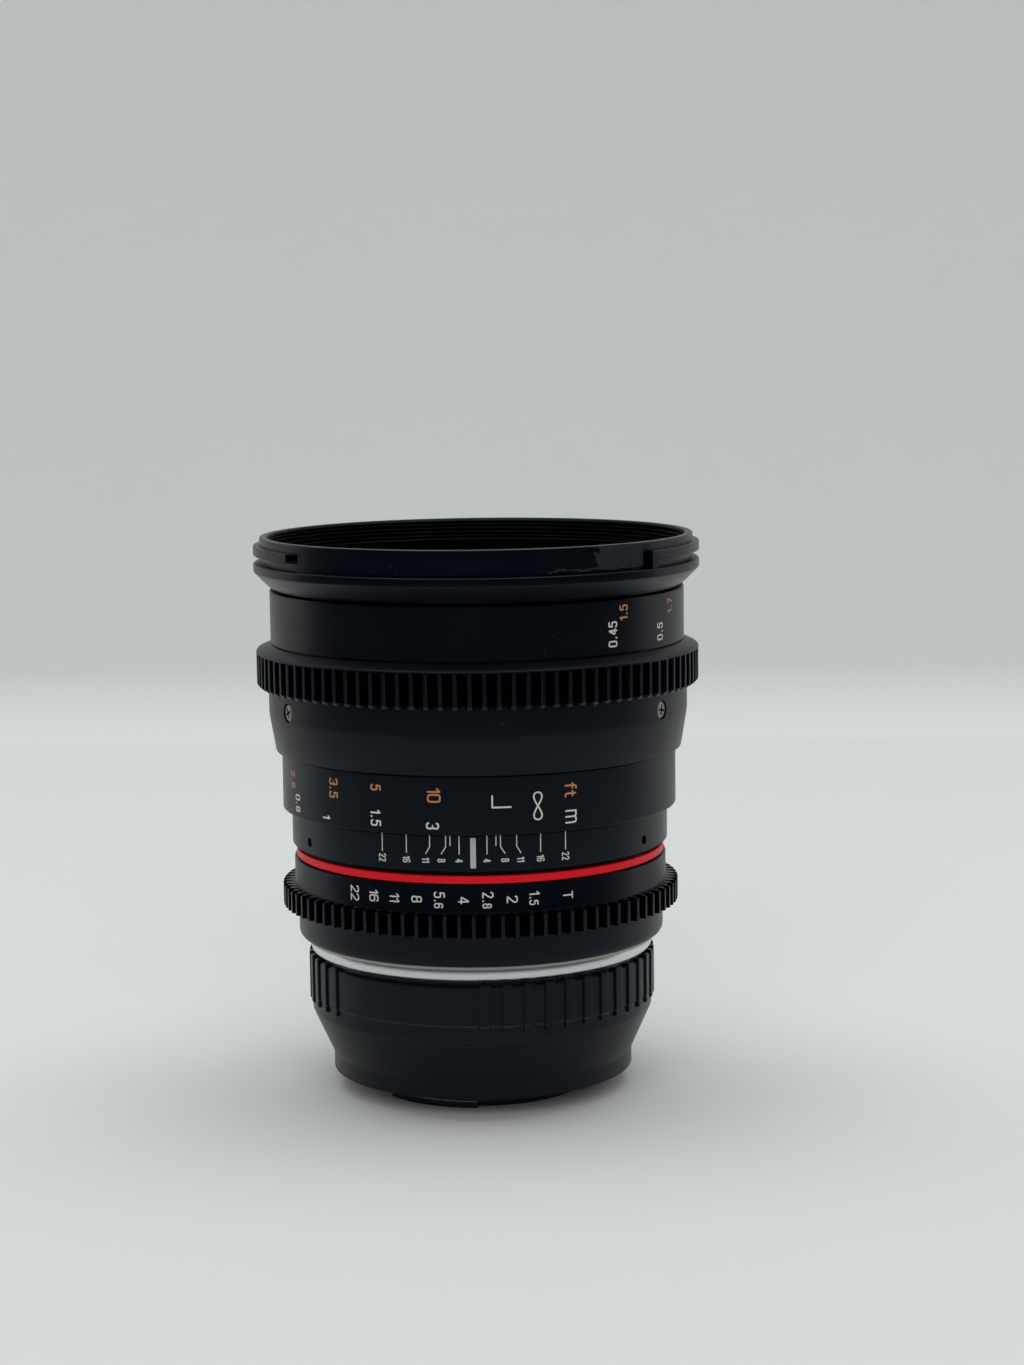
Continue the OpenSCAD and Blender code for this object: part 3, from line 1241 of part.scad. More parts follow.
front_ring();
main_barrel();
focus_ring();
focus_grip();
focus_cam_sleeve();
focus_scale_ring();
focus_screws();
cam_followers();
depth_scale_ring();
depth_set_screws();
red_ring();
aperture_ring();
aperture_fork();
rear_barrel();
lens_mount_plate();
lens_mount_screws();
rear_light_baffle();
optics_barrel();
front_cell();
name_ring();
front_spacer();
rear_cell();
rear_spacers();
rear_retainer();
glass_1_front();
glass_2();
glass_3();
glass_4();
glass_5();
glass_6();
glass_7();
glass_8();
glass_9_rear();
iris_cam_ring();
iris_retaining_ring();
for (i = [0:blade_count - 1]) iris_blade(i);
adapter_lens_mount();
adapter_lens_screws();
adapter_bayonet_springs();
adapter_body();
adapter_camera_mount();
adapter_camera_screws();
lock_pin();
release_slider();
lock_spring();
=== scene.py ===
# %% [markdown]
# # A cinema prime lens on its mount adapter
# The CAD frame holds every solid of the lens: rings, barrels, glass, iris and adapter. This lesson dresses
# that frame. Rings that the eye rests on are made again as smooth turned surfaces with soft edges, because
# a real lens is read through the thin lights along its edges. Everything hidden keeps its CAD mesh and gets
# a finish. Lengths are written in millimetres and multiplied by MM once, when a mesh is filled.

# %% Load the frame
import json
import math

import bmesh
import bpy
import numpy as np
from mathutils import Matrix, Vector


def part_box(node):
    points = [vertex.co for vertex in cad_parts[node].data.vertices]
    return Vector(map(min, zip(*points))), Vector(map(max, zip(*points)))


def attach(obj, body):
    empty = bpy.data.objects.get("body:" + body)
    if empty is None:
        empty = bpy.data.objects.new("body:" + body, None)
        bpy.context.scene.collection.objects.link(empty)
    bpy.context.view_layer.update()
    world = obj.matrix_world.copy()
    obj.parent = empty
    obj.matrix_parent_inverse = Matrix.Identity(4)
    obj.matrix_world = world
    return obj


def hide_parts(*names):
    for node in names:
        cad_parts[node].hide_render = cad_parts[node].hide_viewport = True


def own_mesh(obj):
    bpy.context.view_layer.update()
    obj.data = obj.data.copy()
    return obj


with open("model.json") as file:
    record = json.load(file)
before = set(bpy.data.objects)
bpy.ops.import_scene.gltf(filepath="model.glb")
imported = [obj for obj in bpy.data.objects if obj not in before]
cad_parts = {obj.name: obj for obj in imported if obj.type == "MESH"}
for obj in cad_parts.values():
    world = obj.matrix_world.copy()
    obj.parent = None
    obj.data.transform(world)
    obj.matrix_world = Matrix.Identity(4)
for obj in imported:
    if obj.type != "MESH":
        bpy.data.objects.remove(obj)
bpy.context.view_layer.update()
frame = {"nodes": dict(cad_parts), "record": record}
MM = 0.001

# %% [markdown]
# ## Camera
# The photograph looks slightly down on the lens from half a metre. Its focal length, height and tilt were
# worked out from the ellipses of the rings. A camera matrix is built from its own axes: right, up and
# backwards. The roll turns the first two in the picture plane. Lamps are aimed in the same way later.

# %% Camera at the photograph's viewing angle
CAMERA_AT = (18.85, -514.0, 142.0)
CAMERA_YAW, CAMERA_PITCH, CAMERA_ROLL = np.radians([-1.398, 7.3946, -0.7151])
FOCAL_LENGTH, SENSOR = 73.73, 36.0
AXIS = np.array([0, 0, 1.0])


def unit(vectors):
    """Vectors brought to length one."""
    return vectors / np.linalg.norm(vectors, axis=-1, keepdims=True)


def placed(name, data):
    """Object at the origin for a mesh, a lamp or a camera."""
    made = bpy.data.objects.new(name, data)
    bpy.context.scene.collection.objects.link(made)
    return made


def aimed(thing, axes, at):
    """Turns a lamp or camera to its own x, y and z axes and moves it to a place in millimetres."""
    matrix = np.eye(4)
    matrix[:3, :3], matrix[:3, 3] = np.stack(axes, 1), np.array(at) * MM
    thing.matrix_world = Matrix(matrix.tolist())
    return thing


look = np.array([np.sin(CAMERA_YAW) * np.cos(CAMERA_PITCH), np.cos(CAMERA_YAW) * np.cos(CAMERA_PITCH),
                 -np.sin(CAMERA_PITCH)])
level = unit(np.cross(look, AXIS))
upright = np.cross(level, look)
right = np.cos(CAMERA_ROLL) * level + np.sin(CAMERA_ROLL) * upright
up = np.cos(CAMERA_ROLL) * upright - np.sin(CAMERA_ROLL) * level
camera = aimed(placed("camera", bpy.data.cameras.new("camera")), (right, up, -look), CAMERA_AT)
camera.data.lens, camera.data.sensor_width = FOCAL_LENGTH, SENSOR
camera.data.clip_start = 0.01
bpy.context.scene.camera = camera
bpy.context.scene.view_settings.view_transform = "Standard"
print("camera at", CAMERA_AT, "mm, lens", FOCAL_LENGTH)

# %% [markdown]
# ## Surfaces from arrays
# Every new piece is a grid of points, worked out as one array. Rows follow a profile, columns go round the
# axis. The angle is counted from the index mark, which faces -Y, towards +X. A profile that runs outwards
# along its lower side and then up gives faces that point out.

# %% Grid, rounded profile and lathe
SHARP = math.radians(40)
TURNS = 720


def smoothed(mesh):
    """Smooth shading, but for edges sharper than SHARP."""
    mesh.polygons.foreach_set("use_smooth", np.ones(len(mesh.polygons), bool))
    mesh.set_sharp_from_angle(angle=SHARP)
    return mesh


def surface(name, grid, close_rows=True, close_columns=True):
    """Mesh from a grid of points in millimetres.

    Quad (i, j) joins the points (i, j), (i, j+1), (i+1, j+1) and (i+1, j).
    """
    rows, columns = grid.shape[:2]
    i = np.arange(rows if close_rows else rows - 1)[:, None]
    j = np.arange(columns if close_columns else columns - 1)[None, :]
    below, beside = (i + 1) % rows, (j + 1) % columns
    here, there = i * columns, below * columns
    quads = np.stack([here + j, here + beside, there + beside, there + j], -1)
    mesh = bpy.data.meshes.new(name)
    mesh.from_pydata(grid.reshape(-1, 3) * MM, [], quads.reshape(-1, 4))
    return placed(name, smoothed(mesh))


def rounded(corners, soft=0.12, steps=5):
    """Closed profile with soft corners.

    Each corner P becomes (1-t)^2 A + 2t(1-t) P + t^2 B, where A and B lie on its two edges. One more point
    on each edge keeps the flat beside the curve flat.
    """
    p = np.asarray(corners, float)
    soft = np.broadcast_to(soft, len(p))[:, None]

    def along(edge, share, limit):
        length = np.linalg.norm(edge, axis=1, keepdims=True)
        return p + edge / length * np.minimum(share * soft, limit * length)

    before, after = np.roll(p, 1, 0) - p, np.roll(p, -1, 0) - p
    a, b = along(before, 1, 0.3), along(after, 1, 0.3)
    t = np.linspace(0, 1, steps)[None, :, None]
    curve = (1 - t) ** 2 * a[:, None] + 2 * t * (1 - t) * p[:, None] + t * t * b[:, None]
    flats = [along(before, 1.5, 0.45)[:, None], curve, along(after, 1.5, 0.45)[:, None]]
    return np.concatenate(flats, 1).reshape(-1, 2)


def spin(angles, radii, heights):
    """Points (r sin a, -r cos a, z) for rows of radii and heights at the given angles."""
    radii, heights, angles = np.broadcast_arrays(radii, heights, angles)
    return np.stack([radii * np.sin(angles), -radii * np.cos(angles), heights], -1)


def even_turn(columns=TURNS):
    """Angles evenly spaced round a full turn."""
    return np.linspace(0, 2 * np.pi, columns, endpoint=False)


def lathe(name, corners, soft=0.12, steps=5):
    """Closed turned ring: the rounded profile carried round the axis."""
    profile = rounded(corners, soft, steps)
    return surface(name, spin(even_turn()[None, :], profile[:, :1], profile[:, 1:]))


print("surface helpers ready, columns per turn:", TURNS)

# %% [markdown]
# ## Floor and light
# The lens stands on a pale sweep: a floor that bends up into a wall some way behind it. One wide lamp above
# gives the soft lights on upper edges, two tall ones at the sides those along the silhouette, and a wide
# one in front lights the painted figures. The front lamp is kept out of reflections, which would turn the
# black barrel grey.

# %% Pale sweep and soft lamps
SWEEP_FRONT, SWEEP_BACK, SWEEP_BEND, SWEEP_TOP, SWEEP_HALF = -1000.0, 418.0, 24.0, 1900.0, 1300.0

bend = np.radians(np.linspace(0, 90, 24))
path = np.concatenate([
    [[SWEEP_FRONT, 0]],
    np.stack([SWEEP_BACK + SWEEP_BEND * np.sin(bend), SWEEP_BEND * (1 - np.cos(bend))], 1),
    [[SWEEP_BACK + SWEEP_BEND, SWEEP_TOP]]])
across = np.array([-SWEEP_HALF, SWEEP_HALF])
sweep = surface("sweep", np.stack(np.broadcast_arrays(
    across[None, :], path[:, :1], path[:, 1:]), -1), close_rows=False, close_columns=False)


def lamp(name, size, energy, at, to=(0, 0, 55)):
    """Rectangular area lamp in millimetres that faces a point."""
    data = bpy.data.lights.new(name, "AREA")
    data.shape, data.size, data.size_y, data.energy = "RECTANGLE", size[0] * MM, size[1] * MM, energy
    back = unit(np.subtract(at, to).astype(float))
    side = unit(np.cross([0.0, 1.0, 0.0] if abs(back[2]) > 0.9 else AXIS, back))
    return aimed(placed(name, data), (side, np.cross(back, side), back), at)


lamp("lamp_above", (1200, 1000), 9.6, (0, 160, 1150))
lamp("lamp_left", (400, 900), 1.0, (-800, 260, 420))
lamp("lamp_right", (400, 900), 1.0, (800, 260, 420))
lamp("lamp_front", (1500, 900), 8.0, (0, -1300, 750)).visible_glossy = False
print("sweep and", len(bpy.data.lights), "lamps made")

# %% [markdown]
# Black gloss shows the room more than its own colour. A photographer puts a dark screen round the camera
# side of such a thing. Here it is half a drum that reflections alone can see, so it neither shows nor
# throws a shadow.

# %% Dark screen for reflections
SCREEN_R, SCREEN_TOP, SCREEN_HALF = 380.0, 560.0, 100.0
screen_turn = np.radians(np.linspace(-SCREEN_HALF, SCREEN_HALF, 65))[None, :]
screen = surface("screen", spin(screen_turn, SCREEN_R, np.array([[0.0], [SCREEN_TOP]])),
                 close_rows=False, close_columns=False)
screen.visible_camera = screen.visible_diffuse = screen.visible_transmission = screen.visible_shadow = False
print("screen:", len(screen.data.polygons), "faces")

# %% [markdown]
# ## Shader arithmetic
# A finish is mostly arithmetic on masks: grain, smudges, specks. A small class wraps an output socket, so
# that `0.4 + 0.1 * smudge` adds the Math nodes by itself. Its one method `node` adds any other node.

# %% A socket that calculates
class Field:
    """An output socket of a material; arithmetic with numbers or other fields adds Math nodes."""

    def __init__(self, tree, socket=None):
        self.tree, self.socket = tree, socket

    def node(self, kind, settings=None, inputs=None, out=0):
        """Adds a node: first its settings, ramp stops among them, then the values or links of its sockets."""
        made = self.tree.nodes.new("ShaderNode" + kind)
        for key, setting in (settings or {}).items():
            if key == "stops":
                ramp = made.color_ramp
                for index, (place, colour) in enumerate(setting):
                    stop = ramp.elements[index] if index < 2 else ramp.elements.new(place)
                    stop.position, stop.color = place, colour
            else:
                setattr(made, key, setting)
        for key, value in (inputs or {}).items():
            if isinstance(value, Field):
                self.tree.links.new(value.socket, made.inputs[key])
            else:
                made.inputs[key].default_value = value
        return Field(self.tree, made.outputs[out])

    def math(self, operation, first, second):
        return self.node("Math", {"operation": operation}, {0: first, 1: second})

    def __add__(self, other):
        return self.math("ADD", self, other)

    def __mul__(self, other):
        return self.math("MULTIPLY", self, other)

    def __sub__(self, other):
        return self.math("SUBTRACT", self, other)

    def __rsub__(self, other):
        return self.math("SUBTRACT", other, self)

    def __gt__(self, other):
        return self.math("GREATER_THAN", self, other)

    def __lt__(self, other):
        return self.math("LESS_THAN", self, other)

    __radd__, __rmul__ = __add__, __mul__


def mix(mask, first, second):
    """Colour between two colours by a mask."""
    return mask.node("Mix", {"data_type": "RGBA"}, {"Factor": mask, "A": first, "B": second}, out=2)


print("shader class:", Field.__name__)

# %% [markdown]
# ## Black finishes
# The barrel is black anodised aluminium: very dark, slightly blue, with a grain finer than a tenth of a
# millimetre from blasting. Fine turning lines follow the axis on the scale rings. Handling leaves faint
# smudges, which change the gloss more than the colour, and a few specks of dust. Edges that are touched
# often, such as the tips of the teeth, turn lighter and smoother. A painted highlight lightens them further,
# and some ledges too, and painted shade darkens the gaps between the teeth.

# %% Noise, turning lines and simple masks
GRAIN, SMUDGE, SPECK, LINES = 9000.0, 90.0, 2600.0, 14000.0


def new_finish(name):
    """Material with its Principled shader, and a field on its Object coordinates."""
    material = bpy.data.materials.new(name)
    material.use_nodes = True
    start = Field(material.node_tree)
    return material, material.node_tree.nodes["Principled BSDF"], start.node("TexCoord", out="Object")


def noise(place, scale, detail=2.0, roughness=0.5):
    """Noise from 0 to 1 at a number of cells per metre."""
    return place.node("TexNoise", {}, {"Vector": place, "Scale": scale, "Detail": detail,
                                       "Roughness": roughness})


def cylindrical(place):
    """Angle in degrees from the index mark, radius and height in millimetres, as fields."""
    x, y, z = (place.node("SeparateXYZ", {}, {0: place}, out=axis) for axis in range(3))
    angle = x.math("ARCTAN2", x, y * -1.0) * (180 / math.pi)
    return angle, x.math("SQRT", x * x + y * y, 0.0) * 1000.0, z * 1000.0


def turning(place):
    """Lines round the axis: noise that reads the height alone."""
    height = place.node("SeparateXYZ", {}, {0: place}, out=2)
    return noise(place.node("CombineXYZ", {}, {2: height}), LINES, 3.0)


def set_sockets(shader, values):
    """Constants and fields onto the shader's own sockets."""
    for key, value in values.items():
        if isinstance(value, Field):
            value.tree.links.new(value.socket, shader.inputs[key])
        else:
            shader.inputs[key].default_value = value


def bump(height, strength, distance):
    """Normal from a height field; distance in metres."""
    return height.node("Bump", {}, {"Height": height, "Strength": strength, "Distance": distance})


def no_wear(place):
    """Mask that is nearly nowhere: the highest peaks of a fine noise."""
    return noise(place, SPECK, 1.0) > 0.86


def rare_dust(place):
    """Specks: peaks of a fine noise, in a few patches of a wide one."""
    return (noise(place, SPECK, 0.0) > 0.85) * (noise(place, 2 * SMUDGE) > 0.57)


def between(field, low, high):
    """Mask of the places where a field lies between two values."""
    return (field > low) * (field < high)


print("noise and masks ready")

# %% Recipe of black metal
def black_finish(name, dark, light, gloss, grain, lines=0.0, worn_or_lit=no_wear, specks=rare_dust, matt_and_shade=None,
                 specular=0.19):
    """Black metal: colour and gloss drift with smudges, grain and turning lines move the normal.

    A mask of worn places and painted highlights is lighter and smoother, specks are pale. Hollows get a
    second
    shader without gloss: painted shade in gear gaps, matt paint in a bore.
    """
    material, shader, place = new_finish(name)
    smudge, wear_or_highlight, speck = noise(place, SMUDGE, 4.0, 0.6), worn_or_lit(place), specks(place)
    height = noise(place, GRAIN) * (1 - lines) + turning(place) * lines
    colour = mix(wear_or_highlight, mix(smudge, (*dark, 1.0), (*light, 1.0)), (0.020, 0.024, 0.030, 1.0))
    set_sockets(shader, {
        "Base Color": mix(speck, colour, (0.07, 0.07, 0.068, 1.0)),
        "Roughness": gloss + 0.16 * (smudge - 0.5) - 0.1 * wear_or_highlight + 0.25 * speck,
        "Normal": bump(height, grain, 0.00002),
        "Specular IOR Level": specular, "Specular Tint": (0.80, 0.90, 1.0, 1.0)})
    # A dark shader without gloss, mixed in by the mask: painted shade in gear gaps, matt paint in a bore.
    if matt_and_shade:
        shade = place.node("BsdfPrincipled", {}, {
            "Base Color": (0.0005, 0.0008, 0.0016, 1.0), "Roughness": 0.9, "Specular IOR Level": 0.0})
        metal = Field(place.tree, shader.outputs[0])
        both = place.node("MixShader", {}, {0: matt_and_shade(place), 1: metal, 2: shade})
        place.tree.links.new(both.socket, place.tree.nodes["Material Output"].inputs["Surface"])
    return material


print("recipe:", black_finish.__name__)

# %% Worn teeth, painted highlights on teeth and ledges, painted shade in gear gaps, and the black finishes
FOCUS_TIP, FOCUS_LOW, FOCUS_GAPS = 40.8, 75.69, (76.19, 82.0)
APERTURE_TIP, APERTURE_GAPS = 36.8, (34.9, 39.1)
TIP_BAND, GAP_TOP, GAP_ROOT, END_W, END_H = 0.12, 0.13, 2.05, 0.6, 0.55


def tooth_tips(tip):
    """Worn tips of a gear with a painted highlight: radii just under the tip, broken up by noise, and the
    bevel at the lower end.
    """
    def mask(place):
        _, radius, height = cylindrical(place)
        ends = (radius > tip - END_W) * between(height, FOCUS_LOW, FOCUS_LOW + END_H)
        band = between(radius, tip - TIP_BAND, tip + 0.02)
        return band.math("MAXIMUM", band * 0.15, ends) * (0.35 + 0.65 * noise(place, 900.0))
    return mask


def gap_grease_and_shade(tip, heights):
    """Painted shade and grease in a gear's gaps between two heights, from the root to just under the tips."""
    def mask(place):
        _, radius, height = cylindrical(place)
        return between(radius, tip - GAP_ROOT, tip - GAP_TOP) * between(height, *heights)
    return mask


barrel_black = black_finish("barrel_black", (0.0007, 0.0013, 0.0036), (0.0014, 0.0022, 0.0050), 0.34, 0.25)
skirt_black = black_finish("skirt_black", (0.0007, 0.0014, 0.0042), (0.0016, 0.0026, 0.0060), 0.38, 0.35,
                           worn_or_lit=tooth_tips(FOCUS_TIP), matt_and_shade=gap_grease_and_shade(FOCUS_TIP, FOCUS_GAPS))
ring_black = black_finish("ring_black", (0.0010, 0.0019, 0.0044), (0.0018, 0.0029, 0.0058), 0.36, 0.25,
                          worn_or_lit=tooth_tips(APERTURE_TIP), matt_and_shade=gap_grease_and_shade(APERTURE_TIP, APERTURE_GAPS))
scale_black = black_finish("scale_black", (0.0011, 0.0025, 0.0052), (0.0022, 0.0038, 0.0070), 0.37, 0.30, 0.5)
# Heights and least radius of the painted highlight on the adapter's ledges.
LEDGE_LIGHT_BAND, LEDGE_LIGHT_CONE, LEDGE_LIGHT_R = (17.82, 18.12), (15.05, 15.25), 31.4


def ledge_highlights(place):
    """Painted highlight on the adapter's ledges: two thin heights, broken up by noise."""
    _, radius, height = cylindrical(place)
    ledge = between(height, *LEDGE_LIGHT_BAND) + between(height, *LEDGE_LIGHT_CONE) * 0.35
    return ledge * (radius > LEDGE_LIGHT_R) * (noise(place, 700.0, 3.0) > 0.42)


adapter_black = black_finish("adapter_black", (0.0014, 0.0027, 0.0052), (0.0028, 0.0043, 0.0074), 0.36, 0.30,
                             0.3, worn_or_lit=ledge_highlights)
inner_black = black_finish("inner_black", (0.0014, 0.0016, 0.0020), (0.0024, 0.0026, 0.0030), 0.55, 0.30, 0.4)
matt_black = black_finish("matt_black", (0.0012, 0.0012, 0.0014), (0.0020, 0.0020, 0.0022), 0.85, 0.6,
                          specular=0.06)
print("black finishes: 7")

# %% [markdown]
# The lip of the front ring has lost its grain where a thumb and a cap have rubbed it: a smooth, lighter
# patch beside the slot, with a ragged scratch along its lower edge.

# %% Front ring's scuffed black
SCUFF_FROM, SCUFF_TO, SCUFF_LOW, SCUFF_TOP, SCUFF_R = 33.5, 49.2, 99.3, 103.0, 39.4
SCRATCH_FROM, SCRATCH_W, WANDER_TURN, WANDER_UP = 20.0, 0.30, 9.0, 1.6
BORE_R, BORE_LOW, BORE_MATT = 38.45, 95.0, 0.72


def ragged_place(place):
    """Angle, radius and height, and a noise about zero by which borders wander."""
    return (*cylindrical(place), noise(place, 420.0, 4.0, 0.65) - 0.5)


def scuffed(place):
    """Worn patch between two angles, with borders that wander by noise."""
    angle, radius, height, ragged = ragged_place(place)
    patch = (angle + WANDER_TURN * ragged > SCUFF_FROM) * (angle < SCUFF_TO) * (radius > SCUFF_R)
    return patch * (height + WANDER_UP * ragged > SCUFF_LOW) * (height < SCUFF_TOP)


def scratched(place):
    """Broken line along the patch's lower edge, where height plus a noise passes one value, and rare dust."""
    angle, radius, height, ragged = ragged_place(place)
    line = between(height + WANDER_UP * ragged, SCUFF_LOW - SCRATCH_W, SCUFF_LOW)
    scratch = line * between(angle, SCRATCH_FROM, SCUFF_TO) * (radius > SCUFF_R)
    return scratch.math("MAXIMUM", scratch * (noise(place, 1100.0) - 0.15), rare_dust(place))


def blackened_bore(place):
    """Inside of the ring, painted matt against stray light: most of the gloss is gone below one radius."""
    _, radius, height = cylindrical(place)
    return (radius < BORE_R) * (height > BORE_LOW) * BORE_MATT


front_black = black_finish("front_black", (0.0008, 0.0015, 0.0040), (0.0016, 0.0026, 0.0056), 0.33, 0.22,
                           worn_or_lit=scuffed, specks=scratched, matt_and_shade=blackened_bore)
print("front ring finish:", front_black.name)

# %% [markdown]
# ## Bright metals, paint and glass
# Chrome, plated brass, steel and the red ring share one recipe: a metal or a paint whose gloss follows the
# turning lines. Optical glass is coated, so it reflects far less than bare glass, and with a tint.

# %% Metals, red enamel, marking paints and glass
# Radii and heights of the painted highlight on the claws.
CLAW_EDGE, CLAW_RIM = (20.35, 20.7), (1.22, 1.52)


def metal_finish(name, dark, light, gloss, lines, metallic=1.0, specular=0.5, worn_or_lit=no_wear):
    """Turned metal: colour drifts with smudges, gloss and normal follow the lines, edges with a painted
    highlight shine.
    """
    material, shader, place = new_finish(name)
    smudge, grooves = noise(place, 2 * SMUDGE, 4.0, 0.6), turning(place)
    set_sockets(shader, {
        "Base Color": mix(worn_or_lit(place), mix(smudge, (*dark, 1.0), (*light, 1.0)), (0.62, 0.62, 0.61, 1.0)),
        "Roughness": gloss + 0.12 * (grooves - 0.5) + 0.14 * (smudge - 0.5),
        "Metallic": metallic, "Specular IOR Level": specular,
        "Normal": bump(grooves, lines, 0.00001)})
    return material


def claw_highlight(place):
    """Painted highlight along the upper rim of the claws' outer edge."""
    _, radius, height = cylindrical(place)
    return between(radius, *CLAW_EDGE) * between(height, *CLAW_RIM) * noise(place, 900.0, 3.0)


def paint_finish(name, dark, light, gloss):
    """Paint pressed into an engraving: slightly uneven in colour, gloss and height."""
    material, shader, place = new_finish(name)
    uneven = noise(place, 2200.0, 3.0)
    set_sockets(shader, {
        "Base Color": mix(uneven, (*dark, 1.0), (*light, 1.0)),
        "Roughness": gloss + 0.2 * (uneven - 0.5), "Specular IOR Level": 0.3,
        "Normal": bump(uneven, 0.2, 0.00002)})
    return material


def glass_finish(name, tint, index):
    """Coated optical glass: clear, with a weak coloured reflection and a trace of dust in its gloss."""
    material, shader, place = new_finish(name)
    dust = noise(place, 700.0, 5.0, 0.7) > 0.68
    set_sockets(shader, {
        "Base Color": mix(dust, (0.95, 0.975, 0.965, 1.0), (0.90, 0.92, 0.91, 1.0)),
        "Roughness": 0.008 + 0.03 * dust, "Transmission Weight": 1.0, "IOR": index,
        "Specular IOR Level": 0.07, "Specular Tint": (*tint, 1.0)})
    return material


satin_chrome = metal_finish("satin_chrome", (0.62, 0.63, 0.64), (0.70, 0.71, 0.72), 0.30, 0.06)
mount_plating = metal_finish("mount_plating", (0.30, 0.285, 0.25), (0.42, 0.40, 0.35), 0.38, 0.2)
claw_plating = metal_finish("claw_plating", (0.035, 0.035, 0.039), (0.07, 0.07, 0.075), 0.22, 0.2,
                            worn_or_lit=claw_highlight)
screw_steel = metal_finish("screw_steel", (0.17, 0.163, 0.148), (0.27, 0.26, 0.235), 0.36, 0.3)
dark_steel = metal_finish("dark_steel", (0.012, 0.012, 0.013), (0.03, 0.03, 0.031), 0.45, 0.2)
blade_steel = metal_finish("blade_steel", (0.045, 0.048, 0.056), (0.08, 0.085, 0.095), 0.42, 0.15)
turned_brass = metal_finish("turned_brass", (0.42, 0.29, 0.11), (0.62, 0.46, 0.20), 0.30, 0.3)
red_enamel = metal_finish("red_enamel", (0.66, 0.006, 0.014), (0.78, 0.009, 0.020), 0.42, 0.1, 0.0, 0.15)
cream_paint = paint_finish("cream_paint", (0.54, 0.53, 0.47), (0.70, 0.69, 0.62), 0.55)
orange_paint = paint_finish("orange_paint", (0.42, 0.165, 0.065), (0.58, 0.25, 0.11), 0.55)
white_paint = paint_finish("white_paint", (0.36, 0.37, 0.38), (0.50, 0.51, 0.52), 0.5)
coated_glass = glass_finish("coated_glass", (0.72, 0.55, 1.0), 1.6)
print("metals, paints and glass ready")

# %% [markdown]
# ## Floor finish
# The sweep is matt paper, pale grey with the faintest drift, and painted shade makes it a little darker up
# the wall, so that the shadow under the adapter reads.

# %% Paper of the sweep
paper, paper_shader, paper_place = new_finish("paper")
paper_height = paper_place.node("SeparateXYZ", {}, {0: paper_place}, out=2)
# Painted shade: the paper darkens up the wall over its first quarter metre of height.
wall_shade = paper_place.node("MapRange", {}, {"Value": paper_height, "From Max": 0.25})
paper_drift_and_shade = wall_shade * 0.8 + noise(paper_place, 3.0) * 0.2
set_sockets(paper_shader, {
    "Base Color": mix(paper_drift_and_shade, (0.73, 0.745, 0.74, 1.0), (0.62, 0.635, 0.63, 1.0)),
    "Roughness": 0.9, "Specular IOR Level": 0.2})
sweep.data.materials.append(paper)
print("paper on", sweep.name)

# %% [markdown]
# Beyond the paper the room is a weak even light. Seen directly, in a reflection or through glass it is as
# pale as the paper, so that the lens stands before a pale background from every side.

# %% Room light
ROOM_LIGHT, ROOM_SEEN = 0.20, 0.36
world = bpy.data.worlds.new("studio")
world.use_nodes = True
room = Field(world.node_tree)
camera_ray, glossy_ray, transmission_ray = (
    room.node("LightPath", out="Is %s Ray" % kind) for kind in ("Camera", "Glossy", "Transmission"))
set_sockets(world.node_tree.nodes["Background"], {
    "Color": (0.93, 0.96, 1.0, 1.0),
    "Strength": ROOM_LIGHT + ROOM_SEEN * (camera_ray + glossy_ray + transmission_ray)})
bpy.context.scene.world = world
print("room light", ROOM_LIGHT, "seen as", ROOM_LIGHT + ROOM_SEEN)

# %% Dark blue glow of the screen, a painted reflection in the black gloss
screen_glow, screen_shader, screen_place = new_finish("screen_glow")
# The screen glows faintly in dark blue, so the black gloss shows a painted blue reflection.
set_sockets(screen_shader, {
    "Base Color": (0.0, 0.0, 0.0, 1.0), "Specular IOR Level": 0.0, "Emission Strength": 1.0,
    "Emission Color": mix(noise(screen_place, 2.0), (0.008, 0.018, 0.050, 1.0), (0.012, 0.025, 0.064, 1.0))})
screen.data.materials.append(screen_glow)
print("screen tone on", screen.name)

# %% [markdown]
# ## Finishes of the CAD nodes
# Pieces inside the lens keep their CAD meshes. Each material slot of the record gets one finish. Pieces
# made again below stand for their node and take a finish of their own.

# %% A finish for each slot
SLOT_FINISH = {
    "black_satin": barrel_black, "black_anodised": inner_black, "black_matt": matt_black,
    "brass": turned_brass, "screw_steel": screw_steel, "black_screws": dark_steel, "red_band": red_enamel,
    "mount_metal": mount_plating, "chrome": satin_chrome, "claw_metal": claw_plating,
    "iris_steel": blade_steel, "coated_glass": coated_glass}
slot_of = {entry["node"]: entry["material_slot"] for entry in frame["record"]["subparts"]}
for node_name, node_object in frame["nodes"].items():
    node_object.data.materials.clear()
    node_object.data.materials.append(SLOT_FINISH[slot_of[node_name]])


def dress(piece, finish, body, node=None):
    """Finish, body, and the CAD node that a piece stands for."""
    piece.data.materials.append(finish)
    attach(piece, body)
    if node:
        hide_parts(node)
    print(piece.name, len(piece.data.polygons), "faces on", body)
    return piece


print("slots dressed:", len(SLOT_FINISH))

# %% [markdown]
# ## Turned rods and drilled holes
# Screws, pins and drills are profiles turned about their own axis. Holes are cut with the exact boolean,
# as a drill would cut them, and the cutter is thrown away.

# %% Rods, blocks and the drill
def joined(name, pieces):
    """One object from several, with coincident points merged."""
    whole = bmesh.new()
    for piece in pieces:
        whole.from_mesh(piece.data)
        bpy.data.meshes.remove(piece.data)
    bmesh.ops.remove_doubles(whole, verts=whole.verts, dist=1e-7)
    mesh = bpy.data.meshes.new(name)
    whole.to_mesh(mesh)
    whole.free()
    return placed(name, smoothed(mesh))


